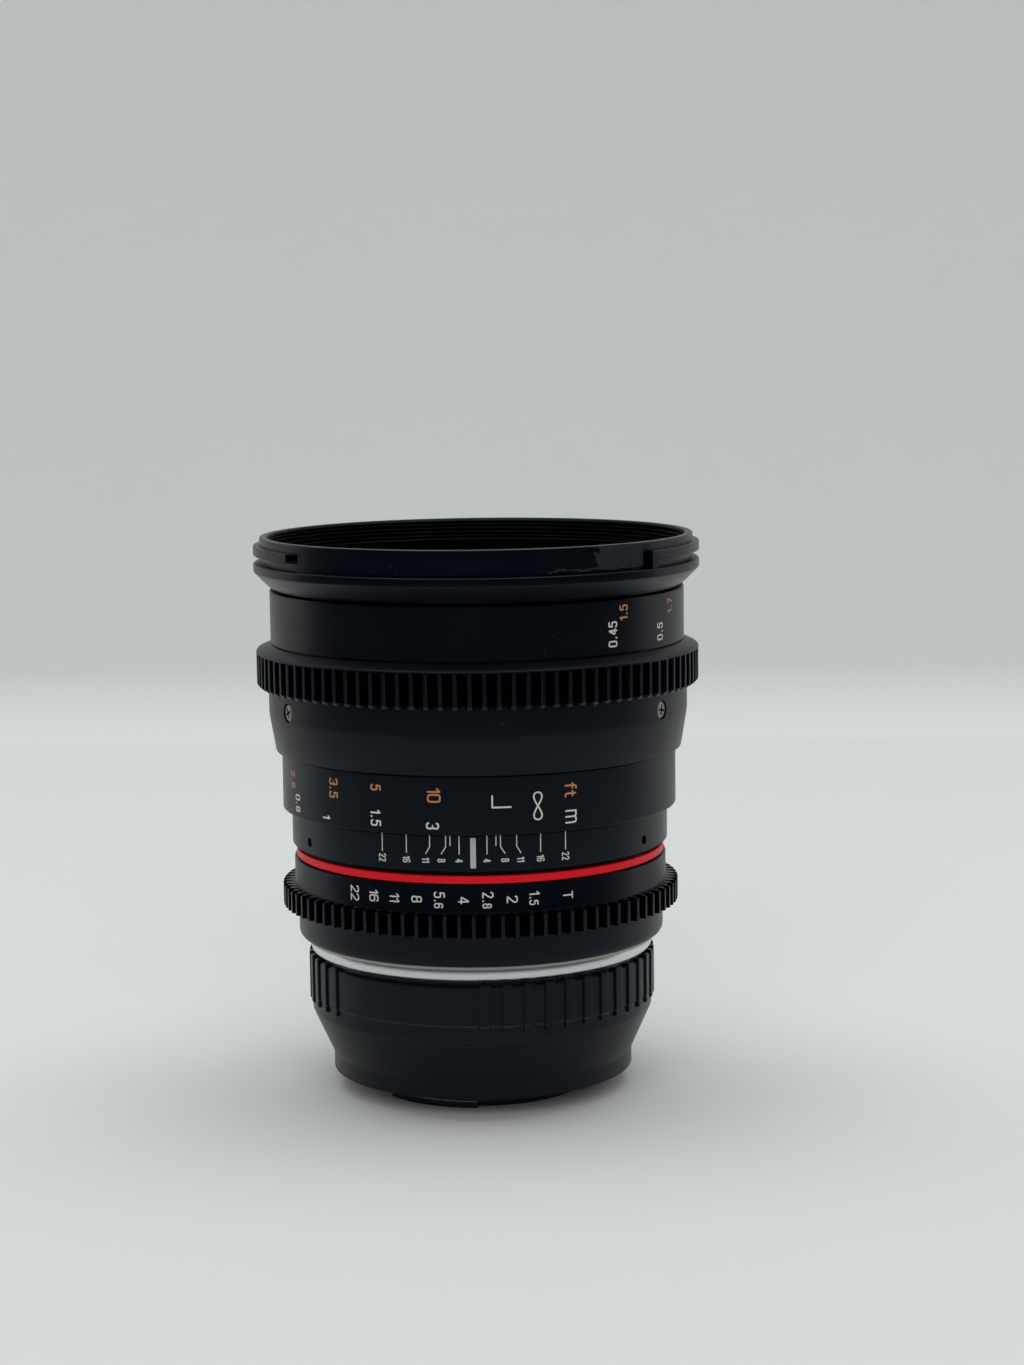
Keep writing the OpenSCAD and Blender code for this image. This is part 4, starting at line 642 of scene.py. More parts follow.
def turned(name, starts, directions, profile, columns=64):
    """Copies of a profile (radius, height along the axis), each turned about its own axis.

    A point is start + h d + r (cos t u + sin t v), where u, v and d are square to each other. Points on the
    axis are merged.
    """
    starts, d = np.atleast_2d(starts).astype(float), unit(np.atleast_2d(directions).astype(float))
    u = unit(np.cross(np.where(np.abs(d[:, 2:]) > 0.9, [[1.0, 0, 0]], AXIS), d))
    v, t = np.cross(d, u), even_turn(columns)[:, None]
    r, h = np.asarray(profile, float).T
    across = np.cos(t) * u[:, None, None] + np.sin(t) * v[:, None, None]
    grid = starts[:, None, None] + h[None, :, None, None] * d[:, None, None] + r[None, :, None, None] * across
    return joined(name, [surface(name, one, close_rows=False) for one in grid])


def radial(degrees):
    """Unit vectors that point out from the axis at angles from the index mark."""
    a = np.radians(np.atleast_1d(degrees))
    return np.stack([np.sin(a), -np.cos(a), np.zeros_like(a)], 1)


def rod(length, radius):
    """Profile of a plain rod."""
    return [(0, 0), (radius, 0), (radius, length), (0, length)]


def blocks(name, centres, sides, ups, outs, size):
    """Boxes given by their centres and three unit axes each."""
    corner = np.array([(x, y, z) for z in (-1, 1) for y in (-1, 1) for x in (-1, 1)]) * np.asarray(size) / 2
    axes = np.stack([sides, ups, outs], 1)
    points = centres[:, None] + np.einsum("ci,kij->kcj", corner, axes)
    faces = np.array([(0, 2, 3, 1), (4, 5, 7, 6), (0, 1, 5, 4), (2, 6, 7, 3), (0, 4, 6, 2), (1, 3, 7, 5)])
    every = (faces[None] + 8 * np.arange(len(centres))[:, None, None]).reshape(-1, 4)
    mesh = bpy.data.meshes.new(name)
    mesh.from_pydata(points.reshape(-1, 3) * MM, [], every)
    return placed(name, mesh)


def drilled(piece, *cutters):
    """Cuts solids out of a piece and throws them away."""
    for cutter in cutters:
        cut = piece.modifiers.new("cut", "BOOLEAN")
        cut.object, cut.solver, cut.use_self = cutter, "EXACT", False
    whole = piece.data
    cut_mesh = bpy.data.meshes.new_from_object(piece.evaluated_get(bpy.context.evaluated_depsgraph_get()))
    piece.modifiers.clear()
    piece.data = cut_mesh
    cut_mesh.name = piece.name
    bpy.data.meshes.remove(whole)
    for cutter in cutters:
        bpy.data.objects.remove(cutter)
    smoothed(cut_mesh)
    return piece


print("rods, blocks and drill ready")

# %% [markdown]
# ## Front ring
# A turned ring with a cone, a flange and a lip. Behind the lip sit the two tabs that hold a hood. The
# smooth stretch in front ends in a small pocket on one side and in a slot and a post on the other. The
# filter thread inside the lip is a true helix: its radius is a triangle wave of height and angle together,
# which closes on itself after one turn. Ends and outer radius of each ring are read from its CAD node.

# %% Front ring with hood tabs and a helical filter thread
def extent(node):
    """Lower end, upper end and outer radius of a CAD node, to a hundredth of a millimetre."""
    low, high = np.round(np.array(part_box(node)) / MM, 2)
    return low[2], high[2], high[0]


FRONT_Z, FRONT_TOP, FLANGE_R = extent("front_ring")
_, BARREL_END, _ = extent("main_barrel")
NECK_TOP, FLANGE_LOW, GROOVE_Z, TAB_Z, LIP_Z = 94.27, 97.07, 98.47, 99.87, 101.67
SOCKET_R, NECK_R, CONE_R, LIP_R, GROOVE_R, NOTCH_R, THREAD_R = 34.43, 37.38, 38.38, 39.82, 39.30, 38.9, 38.08
LEDGE_Z, STEP_H, STEP_W, LEDGE_R, LIP_BORE = 99.27, 0.6, 0.7, 36.88, 33.0
TAB_FROM, POCKET_FROM, SLOT_FROM, SLOT_TO, POST_TO = -50.0, -52.8, 49.4, 51.0, 53.0
POCKET_LOW, POCKET_TOP, SLOT_TOP = 100.35, 101.35, 100.9
THREAD_PITCH, THREAD_DEPTH, THREAD_ROWS, THREAD_START = 0.75, 0.36, 72, 0.45
TAB_SOFT, TAB_FOOT_SOFT, FLANGE_SOFT, LIP_SOFT, HAIR = 0.25, 0.2, 0.35, 0.3, 0.01


def stepped_turn(edges, columns=TURNS, gap=0.03):
    """Angles of a full turn in degrees from -180 to 180, with a close pair of columns at each edge."""
    edges = np.asarray(edges)
    even = np.linspace(-180, 180, columns, endpoint=False)
    clear = np.abs(even[:, None] - edges[None, :]).min(1) > 2 * gap
    return np.sort(np.concatenate([even[clear], edges - gap, edges + gap]))


def row_grid(angles, rows):
    """Grid from rows of (radius, height), each a number or an array round the turn, at angles in degrees."""
    radii = np.stack([np.broadcast_to(r, angles.shape) for r, _ in rows])
    heights = np.stack([np.broadcast_to(z, angles.shape) for _, z in rows])
    return spin(np.radians(angles)[None, :], radii, heights)


def arc(centre_r, centre_z, radius, start, end, steps=6):
    """Rows along a circular corner of a profile, angles in degrees from the outward direction."""
    t = np.radians(np.linspace(start, end, steps))
    return list(zip(centre_r + radius * np.cos(t), centre_z + radius * np.sin(t)))


front_angles = stepped_turn([POCKET_FROM, TAB_FROM, SLOT_FROM, SLOT_TO, POST_TO])
tabbed = (front_angles < TAB_FROM) | (front_angles > POST_TO)
post = (front_angles > SLOT_TO) & (front_angles < POST_TO)
slot = (front_angles > SLOT_FROM) & (front_angles < SLOT_TO)
pocket = (front_angles > POCKET_FROM) & (front_angles < TAB_FROM)
tab_end = np.interp(front_angles, [POCKET_FROM, TAB_FROM], [FLANGE_R, LIP_R])
tab_r = np.where(front_angles > 0, FLANGE_R, tab_end)


def wall(z):
    """Radius round the ring at a height between the flange and the lip."""
    r = np.where(tabbed, tab_r if z > TAB_Z else GROOVE_R, LIP_R)
    r = np.where(post, FLANGE_R, r)
    r = np.where(slot & (z < SLOT_TOP), NOTCH_R, r)
    return np.where(pocket & (POCKET_LOW < z < POCKET_TOP), NOTCH_R, r)


outer = np.clip((wall(LIP_Z) - LIP_R) / (FLANGE_R - LIP_R), 0, 1)
thread_top = FRONT_TOP - THREAD_START
thread_z = np.linspace(thread_top, LEDGE_Z, THREAD_ROWS)
thread_fade = np.clip((thread_top - thread_z) / 0.3, 0, 1) * np.clip((thread_z - LEDGE_Z) / 0.25, 0, 1)
phase = thread_z[:, None] / THREAD_PITCH - np.radians(front_angles)[None, :] / (2 * np.pi)
thread_r = THREAD_R + THREAD_DEPTH * thread_fade[:, None] * np.abs(2 * (phase % 1.0) - 1)
front_rows = [(SOCKET_R, FRONT_Z), (NECK_R - 0.1, FRONT_Z), (NECK_R, FRONT_Z + 0.1), (NECK_R, NECK_TOP),
              (CONE_R, NECK_TOP)]
front_rows += arc(FLANGE_R - FLANGE_SOFT, FLANGE_LOW, FLANGE_SOFT, -45, 0)
front_rows += arc(FLANGE_R - FLANGE_SOFT, GROOVE_Z - FLANGE_SOFT, FLANGE_SOFT, 0, 90)
front_rows += [(wall(GROOVE_Z + HAIR), GROOVE_Z), (wall(TAB_Z - HAIR), TAB_Z),
               (wall(TAB_Z + HAIR) - TAB_FOOT_SOFT * tabbed, TAB_Z),
               (wall(TAB_Z + HAIR), TAB_Z + TAB_FOOT_SOFT * tabbed)]
front_rows += [(wall(z + side), z) for z in (POCKET_LOW, SLOT_TOP, POCKET_TOP) for side in (-HAIR, HAIR)]
lip_soft = TAB_SOFT * outer
front_rows += [(wall(LIP_Z), LIP_Z - lip_soft), (wall(LIP_Z) - 0.3 * lip_soft, LIP_Z - 0.3 * lip_soft),
               (wall(LIP_Z) - lip_soft, LIP_Z), (LIP_R, LIP_Z + HAIR)]
front_rows += arc(LIP_R - LIP_SOFT, FRONT_TOP - LIP_SOFT, LIP_SOFT, 0, 90)
front_rows += [(THREAD_R + THREAD_START + 0.1, FRONT_TOP), (THREAD_R + THREAD_START, FRONT_TOP - 0.05)]
front_rows += list(zip(thread_r, thread_z))
front_rows += [(LEDGE_R + 0.08, LEDGE_Z), (LEDGE_R, LEDGE_Z - 0.08)]
for step in (1, 2):
    front_rows += [(LEDGE_R - (step - 1) * STEP_W, LEDGE_Z - step * STEP_H),
                   (LEDGE_R - step * STEP_W, LEDGE_Z - step * STEP_H)]
front_rows += [(LEDGE_R - 2 * STEP_W, LEDGE_Z - 3 * STEP_H), (LIP_BORE, LEDGE_Z - 3 * STEP_H),
               (LIP_BORE, BARREL_END), (SOCKET_R, BARREL_END)]
dress(surface("front_ring_turned", row_grid(front_angles, front_rows)),
      front_black, "lens_body", "front_ring")

# %% [markdown]
# ## Gears
# Both rings carry a spur gear of module 0.8 for a follow focus. The flank of each tooth is an involute:
# half its angle at radius r is a quarter pitch plus inv(20 degrees) minus inv(arccos(base / r)). Columns of
# the grid sit on the corners of the teeth, so the edges stay crisp with few faces.

# %% Involute tooth outline
GEAR_MODULE, PRESSURE, TIP_SOFT = 0.8, math.radians(20), 0.15


def gear_outline(teeth):
    """Angles in degrees and radii round a spur gear, tooth by tooth, with the tips' corners broken."""
    pitch = GEAR_MODULE * teeth / 2
    levels = np.array([pitch - 1.25 * GEAR_MODULE, pitch - 0.3 * GEAR_MODULE, pitch + GEAR_MODULE - TIP_SOFT])
    lean = np.arccos(pitch * math.cos(PRESSURE) / levels)
    half = np.pi / 2 / teeth + math.tan(PRESSURE) - PRESSURE - (np.tan(lean) - lean)
    tip = half[-1] - 0.8 * TIP_SOFT / pitch
    angle = np.concatenate([-half, [-tip, tip], half[::-1]])
    radius = np.concatenate([levels, [pitch + GEAR_MODULE] * 2, levels[::-1]])
    tooth = 2 * np.pi * np.arange(teeth)[:, None] / teeth
    return np.degrees(tooth + angle).ravel(), np.tile(radius, teeth)


focus_angles, focus_outline = gear_outline(100)
aperture_angles, aperture_outline = gear_outline(90)
print("gear columns:", len(focus_angles), len(aperture_angles))

# %% [markdown]
# ## Focus ring
# Skirt, gear and sloped shoulder are one piece. The gaps between the teeth are open at the bottom, where
# the teeth are beveled, and closed at the top by the shoulder. Three cross-head screws sit in seats bored
# into the skirt, and hold the ring on the cam sleeve inside.

# %% Focus ring with screw seats
SKIRT_Z, GRIP_Z, RIM_R = extent("focus_ring")
_, FOCUS_TOP, GRIP_R = extent("focus_grip")
FOCUS_BORE, SKIRT_END_R, SKIRT_R, SKIRT_BEND, GEAR_Z, SHOULDER_Z = 36.13, 37.59, 38.69, 70.82, 75.69, 82.02
TOOTH_BEVEL, THIRDS, SCREW_Z = 0.6, (-60, 60, 180), 72.59
HEAD_R, HEAD_SINK, HEAD_H, SHANK_R, SEAT_ROOM, SHANK_ROOM = 1.6, 0.12, 0.78, 0.8, 0.12, 0.1
focus_tip = focus_outline.max()
focus_rows = [
    (FOCUS_BORE, SKIRT_Z), (SKIRT_END_R - 0.3, SKIRT_Z), (SKIRT_END_R - 0.08, SKIRT_Z + 0.08),
    (SKIRT_END_R, SKIRT_Z + 0.3), (SKIRT_R - 0.06, SKIRT_BEND - 0.4), (SKIRT_R - 0.01, SKIRT_BEND + 0.1),
    (SKIRT_R, SKIRT_BEND + 0.4), (SKIRT_R, GEAR_Z),
    (np.minimum(focus_outline, focus_tip - TOOTH_BEVEL), GEAR_Z),
    (np.minimum(focus_outline, focus_tip - TOOTH_BEVEL / 2), GEAR_Z + TOOTH_BEVEL / 2),
    (focus_outline, GEAR_Z + TOOTH_BEVEL), (focus_outline, SHOULDER_Z), (RIM_R, SHOULDER_Z),
    (RIM_R - 0.02, SHOULDER_Z + 0.12), (RIM_R - 0.12, SHOULDER_Z + 0.32), (RIM_R - 0.3, SHOULDER_Z + 0.5),
    (GRIP_R + 0.1, GRIP_Z - 0.06), (GRIP_R, GRIP_Z), (FOCUS_BORE, GRIP_Z)]
out = radial(THIRDS)
screw_high = SCREW_Z * AXIS
seat_floor = SKIRT_R - HEAD_SINK - HEAD_H - 0.05
seats = turned("seats", out * seat_floor + screw_high, out, rod(3.0, HEAD_R + SEAT_ROOM))
holes = turned("holes", out * (FOCUS_BORE - 1) + screw_high, out, rod(3.0, SHANK_R + SHANK_ROOM))
dress(drilled(surface("focus_ring_turned", row_grid(focus_angles, focus_rows)), seats, holes), skirt_black,
      "focus_ring_body", "focus_ring")

# %% [markdown]
# The screw heads are slightly domed. Their cross is cut with two crossed blocks, turned a little further
# from screw to screw, since no one lines screws up.

# %% Cross-head screws
SCREW_FOOT = 34.75
head_top = SKIRT_R - HEAD_SINK
long = head_top - SCREW_FOOT
screw_profile = [(0, 0), (SHANK_R, 0), (SHANK_R, long - HEAD_H), (HEAD_R - 0.06, long - HEAD_H),
                 (HEAD_R, long - HEAD_H + 0.06), (HEAD_R, long - 0.22), (HEAD_R - 0.07, long - 0.13),
                 (HEAD_R - 0.25, long - 0.08), (HEAD_R / 2, long - 0.02), (0, long)]
screws = turned("focus_screws_turned", out * SCREW_FOOT + screw_high, out, screw_profile)
CROSS_LONG, CROSS_WIDE, CROSS_DEEP = 1.9, 0.42, 0.5
tilt = np.radians([25.0, -10.0, 50.0])[:, None]
arm_a = np.cos(tilt) * np.cross(AXIS, out) + np.sin(tilt) * AXIS
arm_b = np.cross(out, arm_a)
cross_at = out * head_top + screw_high
cross = [blocks("cross", cross_at, a, b, out, (CROSS_LONG, CROSS_WIDE, 2 * CROSS_DEEP))
         for a, b in ((arm_a, arm_b), (arm_b, -arm_a))]
dress(drilled(screws, *cross), screw_steel, "focus_ring_body", "focus_screws")

# %% [markdown]
# The grip barrel screws onto the shoulder. A thin groove shows the seam.

# %% Grip barrel with its seam groove
SEAM_H, SEAM_DEPTH = 0.22, 0.4
dress(lathe("focus_grip_turned", [
    (FOCUS_BORE, GRIP_Z), (GRIP_R - SEAM_DEPTH, GRIP_Z), (GRIP_R - SEAM_DEPTH, GRIP_Z + SEAM_H),
    (GRIP_R, GRIP_Z + SEAM_H), (GRIP_R, FOCUS_TOP), (FOCUS_BORE, FOCUS_TOP)],
    [0.05, 0.03, 0.03, 0.06, 0.3, 0.1]), barrel_black, "focus_ring_body", "focus_grip")

# %% [markdown]
# ## Scale rings
# The distance band turns with the focus ring, the depth ring and the red ring stand still, and the
# aperture ring turns below them on its own gear. All are plain turned rings with soft edges. Small holes
# in the depth ring lead to its set screws.

# %% Distance band, depth ring and red ring
BAND_Z, SPIGOT_TOP, BAND_R = extent("focus_scale_ring")
DEPTH_Z, DEPTH_TOP, DEPTH_R = extent("depth_scale_ring")
RED_Z, RED_TOP, RED_R = extent("red_ring")
BAND_BORE, BAND_TOP, SPIGOT_R = 34.80, 63.57, 36.10
DEPTH_BORE, SET_Z, SET_R, RED_BORE = 33.212, 48.72, 0.85, 32.212
dress(lathe("distance_band_turned", [
    (BAND_BORE, BAND_Z), (BAND_R, BAND_Z), (BAND_R, BAND_TOP), (SPIGOT_R, BAND_TOP), (SPIGOT_R, SPIGOT_TOP),
    (BAND_BORE, SPIGOT_TOP)], 0.2), scale_black, "focus_ring_body", "focus_scale_ring")
set_holes = turned("set_holes", out * (DEPTH_BORE - 1) + SET_Z * AXIS, out, rod(4.0, SET_R))
depth_ring = lathe("depth_ring_turned", [
    (DEPTH_BORE, DEPTH_Z), (DEPTH_R, DEPTH_Z), (DEPTH_R, DEPTH_TOP), (DEPTH_BORE, DEPTH_TOP)], 0.22)
dress(drilled(depth_ring, set_holes), scale_black, "lens_body", "depth_scale_ring")
dress(lathe("red_ring_turned", [
    (RED_BORE, RED_Z), (RED_R, RED_Z), (RED_R, RED_TOP), (RED_BORE, RED_TOP)], 0.15),
    red_enamel, "lens_body", "red_ring")

# %% Aperture ring
APERTURE_Z, APERTURE_TOP, _ = extent("aperture_ring")
APERTURE_BORE, APERTURE_GEAR_TOP, APERTURE_R, BLANK_R = 32.232, 39.20, 34.56, 34.7
aperture_tip = aperture_outline.max()
aperture_rows = [
    (APERTURE_BORE, APERTURE_Z), (BLANK_R, APERTURE_Z), (aperture_outline - 0.05, APERTURE_Z),
    (aperture_outline, APERTURE_Z + 0.08), (aperture_outline, APERTURE_GEAR_TOP - TOOTH_BEVEL / 2),
    (np.minimum(aperture_outline, aperture_tip - TOOTH_BEVEL / 2), APERTURE_GEAR_TOP - TOOTH_BEVEL / 4),
    (np.minimum(aperture_outline, aperture_tip - TOOTH_BEVEL), APERTURE_GEAR_TOP),
    (BLANK_R, APERTURE_GEAR_TOP), (APERTURE_R, APERTURE_GEAR_TOP + 0.2), (APERTURE_R, APERTURE_TOP - 0.25),
    (APERTURE_R - 0.07, APERTURE_TOP - 0.07), (APERTURE_R - 0.25, APERTURE_TOP),
    (APERTURE_BORE, APERTURE_TOP)]
dress(surface("aperture_ring_turned", row_grid(aperture_angles, aperture_rows)), ring_black,
      "aperture_ring_body", "aperture_ring")

# %% [markdown]
# ## Rear barrel and the two mounts
# Below the aperture ring the fixed rear barrel rounds in to the lens mount. The plated edge of the mount
# plate shows as a thin tan line above the chrome bayonet ring of the adapter. Tabs inside both rings catch
# each other, so their radius steps round the turn.

# %% Rear barrel
PLATE_Z, REAR_TOP, REAR_R = extent("rear_barrel")
BAYONET_LOW, PLATE_IN_Z, PLATE_R = extent("lens_mount_plate")
PLATE_SEAT_R, REAR_FLANGE_R, REAR_BORE, REAR_BORE_Z = 30.02, 26.0, 32.212, 32.0
dress(lathe("rear_barrel_turned", [
    (REAR_FLANGE_R, PLATE_IN_Z), (PLATE_SEAT_R, PLATE_IN_Z), (PLATE_SEAT_R, PLATE_Z), (REAR_R, PLATE_Z),
    (REAR_R, REAR_TOP), (REAR_BORE, REAR_TOP), (REAR_BORE, REAR_BORE_Z), (REAR_FLANGE_R, REAR_BORE_Z)],
    [0.1, 0.05, 0.1, 1.3, 0.2, 0.1, 0.1, 0.1]), scale_black, "lens_body", "rear_barrel")

# %% Steps round the turn and upright drills
QUARTERS, BACK, TABS, TAB_HALF = (45, 135, 225, 315), (180,), np.array([0.0, 120.0, -120.0]), 27.0


def wrapped(degrees):
    """Angles brought into the turn from -180 to 180 degrees."""
    return (degrees + 180) % 360 - 180


def apart(angles, centres):
    """Degrees from each angle to the nearest of the centres."""
    return np.abs(wrapped(angles[:, None] - centres[None, :])).min(1)


def edges_beside(centres, offsets):
    """Angles that lie to both sides of each centre, by each of the offsets."""
    offsets = np.atleast_1d(offsets)
    return wrapped(centres[:, None] + np.concatenate([offsets, -offsets])).ravel()


def drills(radius, z, length, bore, degrees=QUARTERS):
    """Upright drills on a circle."""
    return turned("drills", radial(degrees) * radius + z * AXIS, AXIS, rod(length, bore))


mount_angles = stepped_turn(edges_beside(TABS, TAB_HALF))
on_tab = apart(mount_angles, TABS) < TAB_HALF
print("mount columns:", len(mount_angles), "on tabs:", on_tab.sum())

# %% Lens mount plate
SHELF_Z, FLANGE_Z, CHROME_R = extent("adapter_lens_mount")
BAYONET_R, BAYONET_OUT, BAYONET_TIP, TAB_LOW, TAB_HIGH = 24.6, 25.6, 26.8, 24.2, 25.7
PLATE_CIRCLE, PIN_AT, SCREW_HOLE, SCREW_SEAT, PIN_HOLE, PLAY = 27.795, 28.595, 0.85, 1.4, 1.25, 0.03
plate_tab = np.where(on_tab, BAYONET_TIP, BAYONET_OUT)
plate_rows = [
    (BAYONET_R + 0.1, BAYONET_LOW), (BAYONET_OUT - 0.1, BAYONET_LOW), (BAYONET_OUT, BAYONET_LOW + 0.1),
    (BAYONET_OUT, TAB_LOW), (plate_tab - 0.1 * on_tab, TAB_LOW), (plate_tab, TAB_LOW + 0.1 * on_tab),
    (plate_tab, TAB_HIGH), (BAYONET_OUT, TAB_HIGH), (BAYONET_OUT, FLANGE_Z), (PLATE_R - 0.12, FLANGE_Z),
    (PLATE_R, FLANGE_Z + 0.12), (PLATE_R, PLATE_Z - 0.12), (PLATE_R - 0.12, PLATE_Z),
    (PLATE_SEAT_R - PLAY, PLATE_Z), (PLATE_SEAT_R - PLAY, PLATE_IN_Z), (BAYONET_R, PLATE_IN_Z),
    (BAYONET_R, BAYONET_LOW + 0.1)]
dress(drilled(surface("mount_plate_turned", row_grid(mount_angles, plate_rows)),
              drills(PLATE_CIRCLE, FLANGE_Z - 1, 4.0, SCREW_HOLE),
              drills(PLATE_CIRCLE, FLANGE_Z - 1, 1.9, SCREW_SEAT),
              drills(PIN_AT, FLANGE_Z - 1, 2.3, PIN_HOLE, BACK)),
      mount_plating, "lens_body", "lens_mount_plate")

# %% Chrome ring of the adapter
CATCH_BORE, CATCH_TIP, CATCH_H, CHROME_Z, SPIGOT_OUT = 27.0, 25.8, 2.35, 26.45, 30.19
catch = np.where(on_tab, CATCH_TIP, CATCH_BORE)
chrome_rows = [
    (CATCH_BORE, SHELF_Z), (SPIGOT_OUT, SHELF_Z), (SPIGOT_OUT, CHROME_Z), (CHROME_R - 0.2, CHROME_Z),
    (CHROME_R - 0.06, CHROME_Z + 0.06), (CHROME_R, CHROME_Z + 0.2), (CHROME_R, FLANGE_Z - 0.2),
    (CHROME_R - 0.06, FLANGE_Z - 0.06), (CHROME_R - 0.2, FLANGE_Z), (catch, FLANGE_Z),
    (catch, FLANGE_Z - CATCH_H), (CATCH_BORE, FLANGE_Z - CATCH_H)]
dress(drilled(surface("chrome_ring_turned", row_grid(mount_angles, chrome_rows)),
              drills(PIN_AT, SHELF_Z - 1, 6.0, SCREW_HOLE), drills(PIN_AT, FLANGE_Z - 0.95, 2.0, SCREW_SEAT),
              drills(PIN_AT, SHELF_Z - 1, 6.0, PIN_HOLE, BACK)),
      satin_chrome, "lens_body", "adapter_lens_mount")

# %% [markdown]
# ## Adapter
# The adapter's body has a straight foot, a cone and a low band that carries grip ribs, with a smooth panel
# left at the front and at the back. Each rib stands proud of the band and reaches a little past it at both
# ends. Ribs are steps of the radius round the turn, with rounded shoulders that catch the light. The pocket
# of the release slider is cut through the wall at the back. Steps inside trap stray light.

# %% Adapter body with ribs and pocket
CAMERA_Z, RIB_TOP, RIB_R = extent("adapter_body")
_, PLATE_TOP, CAMERA_PLATE_R = extent("adapter_camera_mount")
FOOT_BORE, FOOT_R, FOOT_TOP, BASE_R, CONE_TOP, RIB_Z = 26.54, 27.95, 6.7, 31.76, 15.15, 18.0
SPIGOT_BORE, WALL_BORE, TRAP_R, TRAP_LOW, TRAP_STEPS = 30.24, 27.3, 20.0, 6.6, 6
RIB_PITCH, RIB_SHARE, PANEL_HALF, PANEL_CENTRE, BACK_SHIFT, POCKET_CLEAR = 7.05, 0.47, 25.5, -24.2, 2.4, 9.0
PANEL_R, RIB_DROP, PANEL_DROP, CROWN_R, RIB_SOFT, RIB_SOFT_TURN = 31.90, 1.1, 0.5, 31.2, 0.12, 0.45
POCKET_Z, POCKET_ROOF_Z, POCKET_W, SPRING_Z, SPRING_HOLE = 16.3, 23.0, 8.2, 13.0, 1.5
FOOT_CIRCLE, TAPPED_HOLE = 24.09, 0.82
rib_count, rib_half = int((360 - 4 * PANEL_HALF) / 2 / RIB_PITCH), RIB_SHARE * RIB_PITCH / 2
ribs = PANEL_CENTRE + PANEL_HALF + np.arange(rib_count) * RIB_PITCH + rib_half
ribs = wrapped(np.concatenate([ribs, ribs + 180 + BACK_SHIFT]))
ribs = ribs[np.abs(ribs) < 180 - POCKET_CLEAR]
shoulders = rib_half - RIB_SOFT_TURN * np.array([0, 0.3, 0.6, 1.0])
adapter_angles = stepped_turn(edges_beside(ribs, shoulders), columns=540)
into_rib = rib_half - apart(adapter_angles, ribs)
raised = (into_rib > 0).astype(float)
round_off = 1 - np.sqrt(1 - np.clip(1 - into_rib / RIB_SOFT_TURN, 0, 1) ** 2)
rib = np.where(raised > 0, RIB_R - RIB_SOFT * round_off, PANEL_R)
low, high = RIB_Z - RIB_DROP * raised, RIB_TOP - PANEL_DROP * (1 - raised)
body_rows = [
    (FOOT_BORE, CAMERA_Z), (FOOT_R - 0.2, CAMERA_Z), (FOOT_R - 0.06, CAMERA_Z + 0.06),
    (FOOT_R, CAMERA_Z + 0.2), (FOOT_R, FOOT_TOP - 0.25), (FOOT_R + 0.03, FOOT_TOP),
    (FOOT_R + 0.14, FOOT_TOP + 0.3), (BASE_R - 0.14, CONE_TOP - 0.3), (BASE_R - 0.03, CONE_TOP),
    (BASE_R, CONE_TOP + 0.3), (BASE_R, low - 0.35), (BASE_R, low - 0.15), (BASE_R + 0.02, low),
    (rib - 0.04 - 0.08 * raised, low), (rib, low + 0.15), (rib, low + 0.35), (rib, high - 0.5),
    (rib, high - 0.3), (rib - 0.08, high - 0.08), (rib - 0.25, high), (CROWN_R, high),
    (CROWN_R - 0.05, RIB_TOP), (SPIGOT_BORE, RIB_TOP), (SPIGOT_BORE, SHELF_Z), (WALL_BORE, SHELF_Z),
    (WALL_BORE, CONE_TOP)]
trap = WALL_BORE + (TRAP_R - WALL_BORE) * np.arange(TRAP_STEPS + 1) / TRAP_STEPS
trap_z = CONE_TOP + (TRAP_LOW - CONE_TOP) * np.arange(1, TRAP_STEPS + 1) / TRAP_STEPS
body_rows += [pair for i in range(TRAP_STEPS) for pair in ((trap[i], trap_z[i]), (trap[i + 1], trap_z[i]))]
body_rows += [(TRAP_R, PLATE_TOP), (FOOT_BORE, PLATE_TOP)]
back = radial(BACK)
pocket_middle = back * (WALL_BORE + RIB_R) / 2 + (POCKET_Z + POCKET_ROOF_Z) / 2 * AXIS
pocket_cutter = blocks("pocket", pocket_middle, np.array([[-1.0, 0, 0]]), AXIS[None], back,
                       (POCKET_W, POCKET_ROOF_Z - POCKET_Z, RIB_R - WALL_BORE + 2))
dress(drilled(surface("adapter_body_turned", row_grid(adapter_angles, body_rows)), pocket_cutter,
              drills(PIN_AT, POCKET_Z, 9.0, PIN_HOLE, BACK), drills(PIN_AT, SPRING_Z, 4.0, SPRING_HOLE, BACK),
              drills(PIN_AT, SHELF_Z - 4, 5.0, TAPPED_HOLE), drills(FOOT_CIRCLE, CAMERA_Z, 4.4, TAPPED_HOLE)),
      adapter_black, "lens_body", "adapter_body")

# %% Camera-side mount with its claws
THROAT_R, TUBE_R, CLAW_R, CLAW_H = 18.0, 19.2, 20.6, 1.5
CLAWS, CLAW_HALF, INDEX_AT, INDEX_HOLE = np.array([-27.0, 93.0, -147.0]), 26.0, (100,), 1.3
claw_angles = stepped_turn(edges_beside(CLAWS, CLAW_HALF))
on_claw = apart(claw_angles, CLAWS) < CLAW_HALF
claw = np.where(on_claw, CLAW_R, TUBE_R)
camera_rows = [
    (THROAT_R + 0.1, 0), (claw - 0.15, 0), (claw - 0.04, 0.04), (claw, 0.15), (claw, CLAW_H - 0.15 * on_claw),
    (claw - 0.15 * on_claw, CLAW_H), (TUBE_R, CLAW_H + HAIR), (TUBE_R, CAMERA_Z),
    (CAMERA_PLATE_R - 0.1, CAMERA_Z), (CAMERA_PLATE_R, CAMERA_Z + 0.1), (CAMERA_PLATE_R, PLATE_TOP),
    (THROAT_R, PLATE_TOP), (THROAT_R, 0.1)]
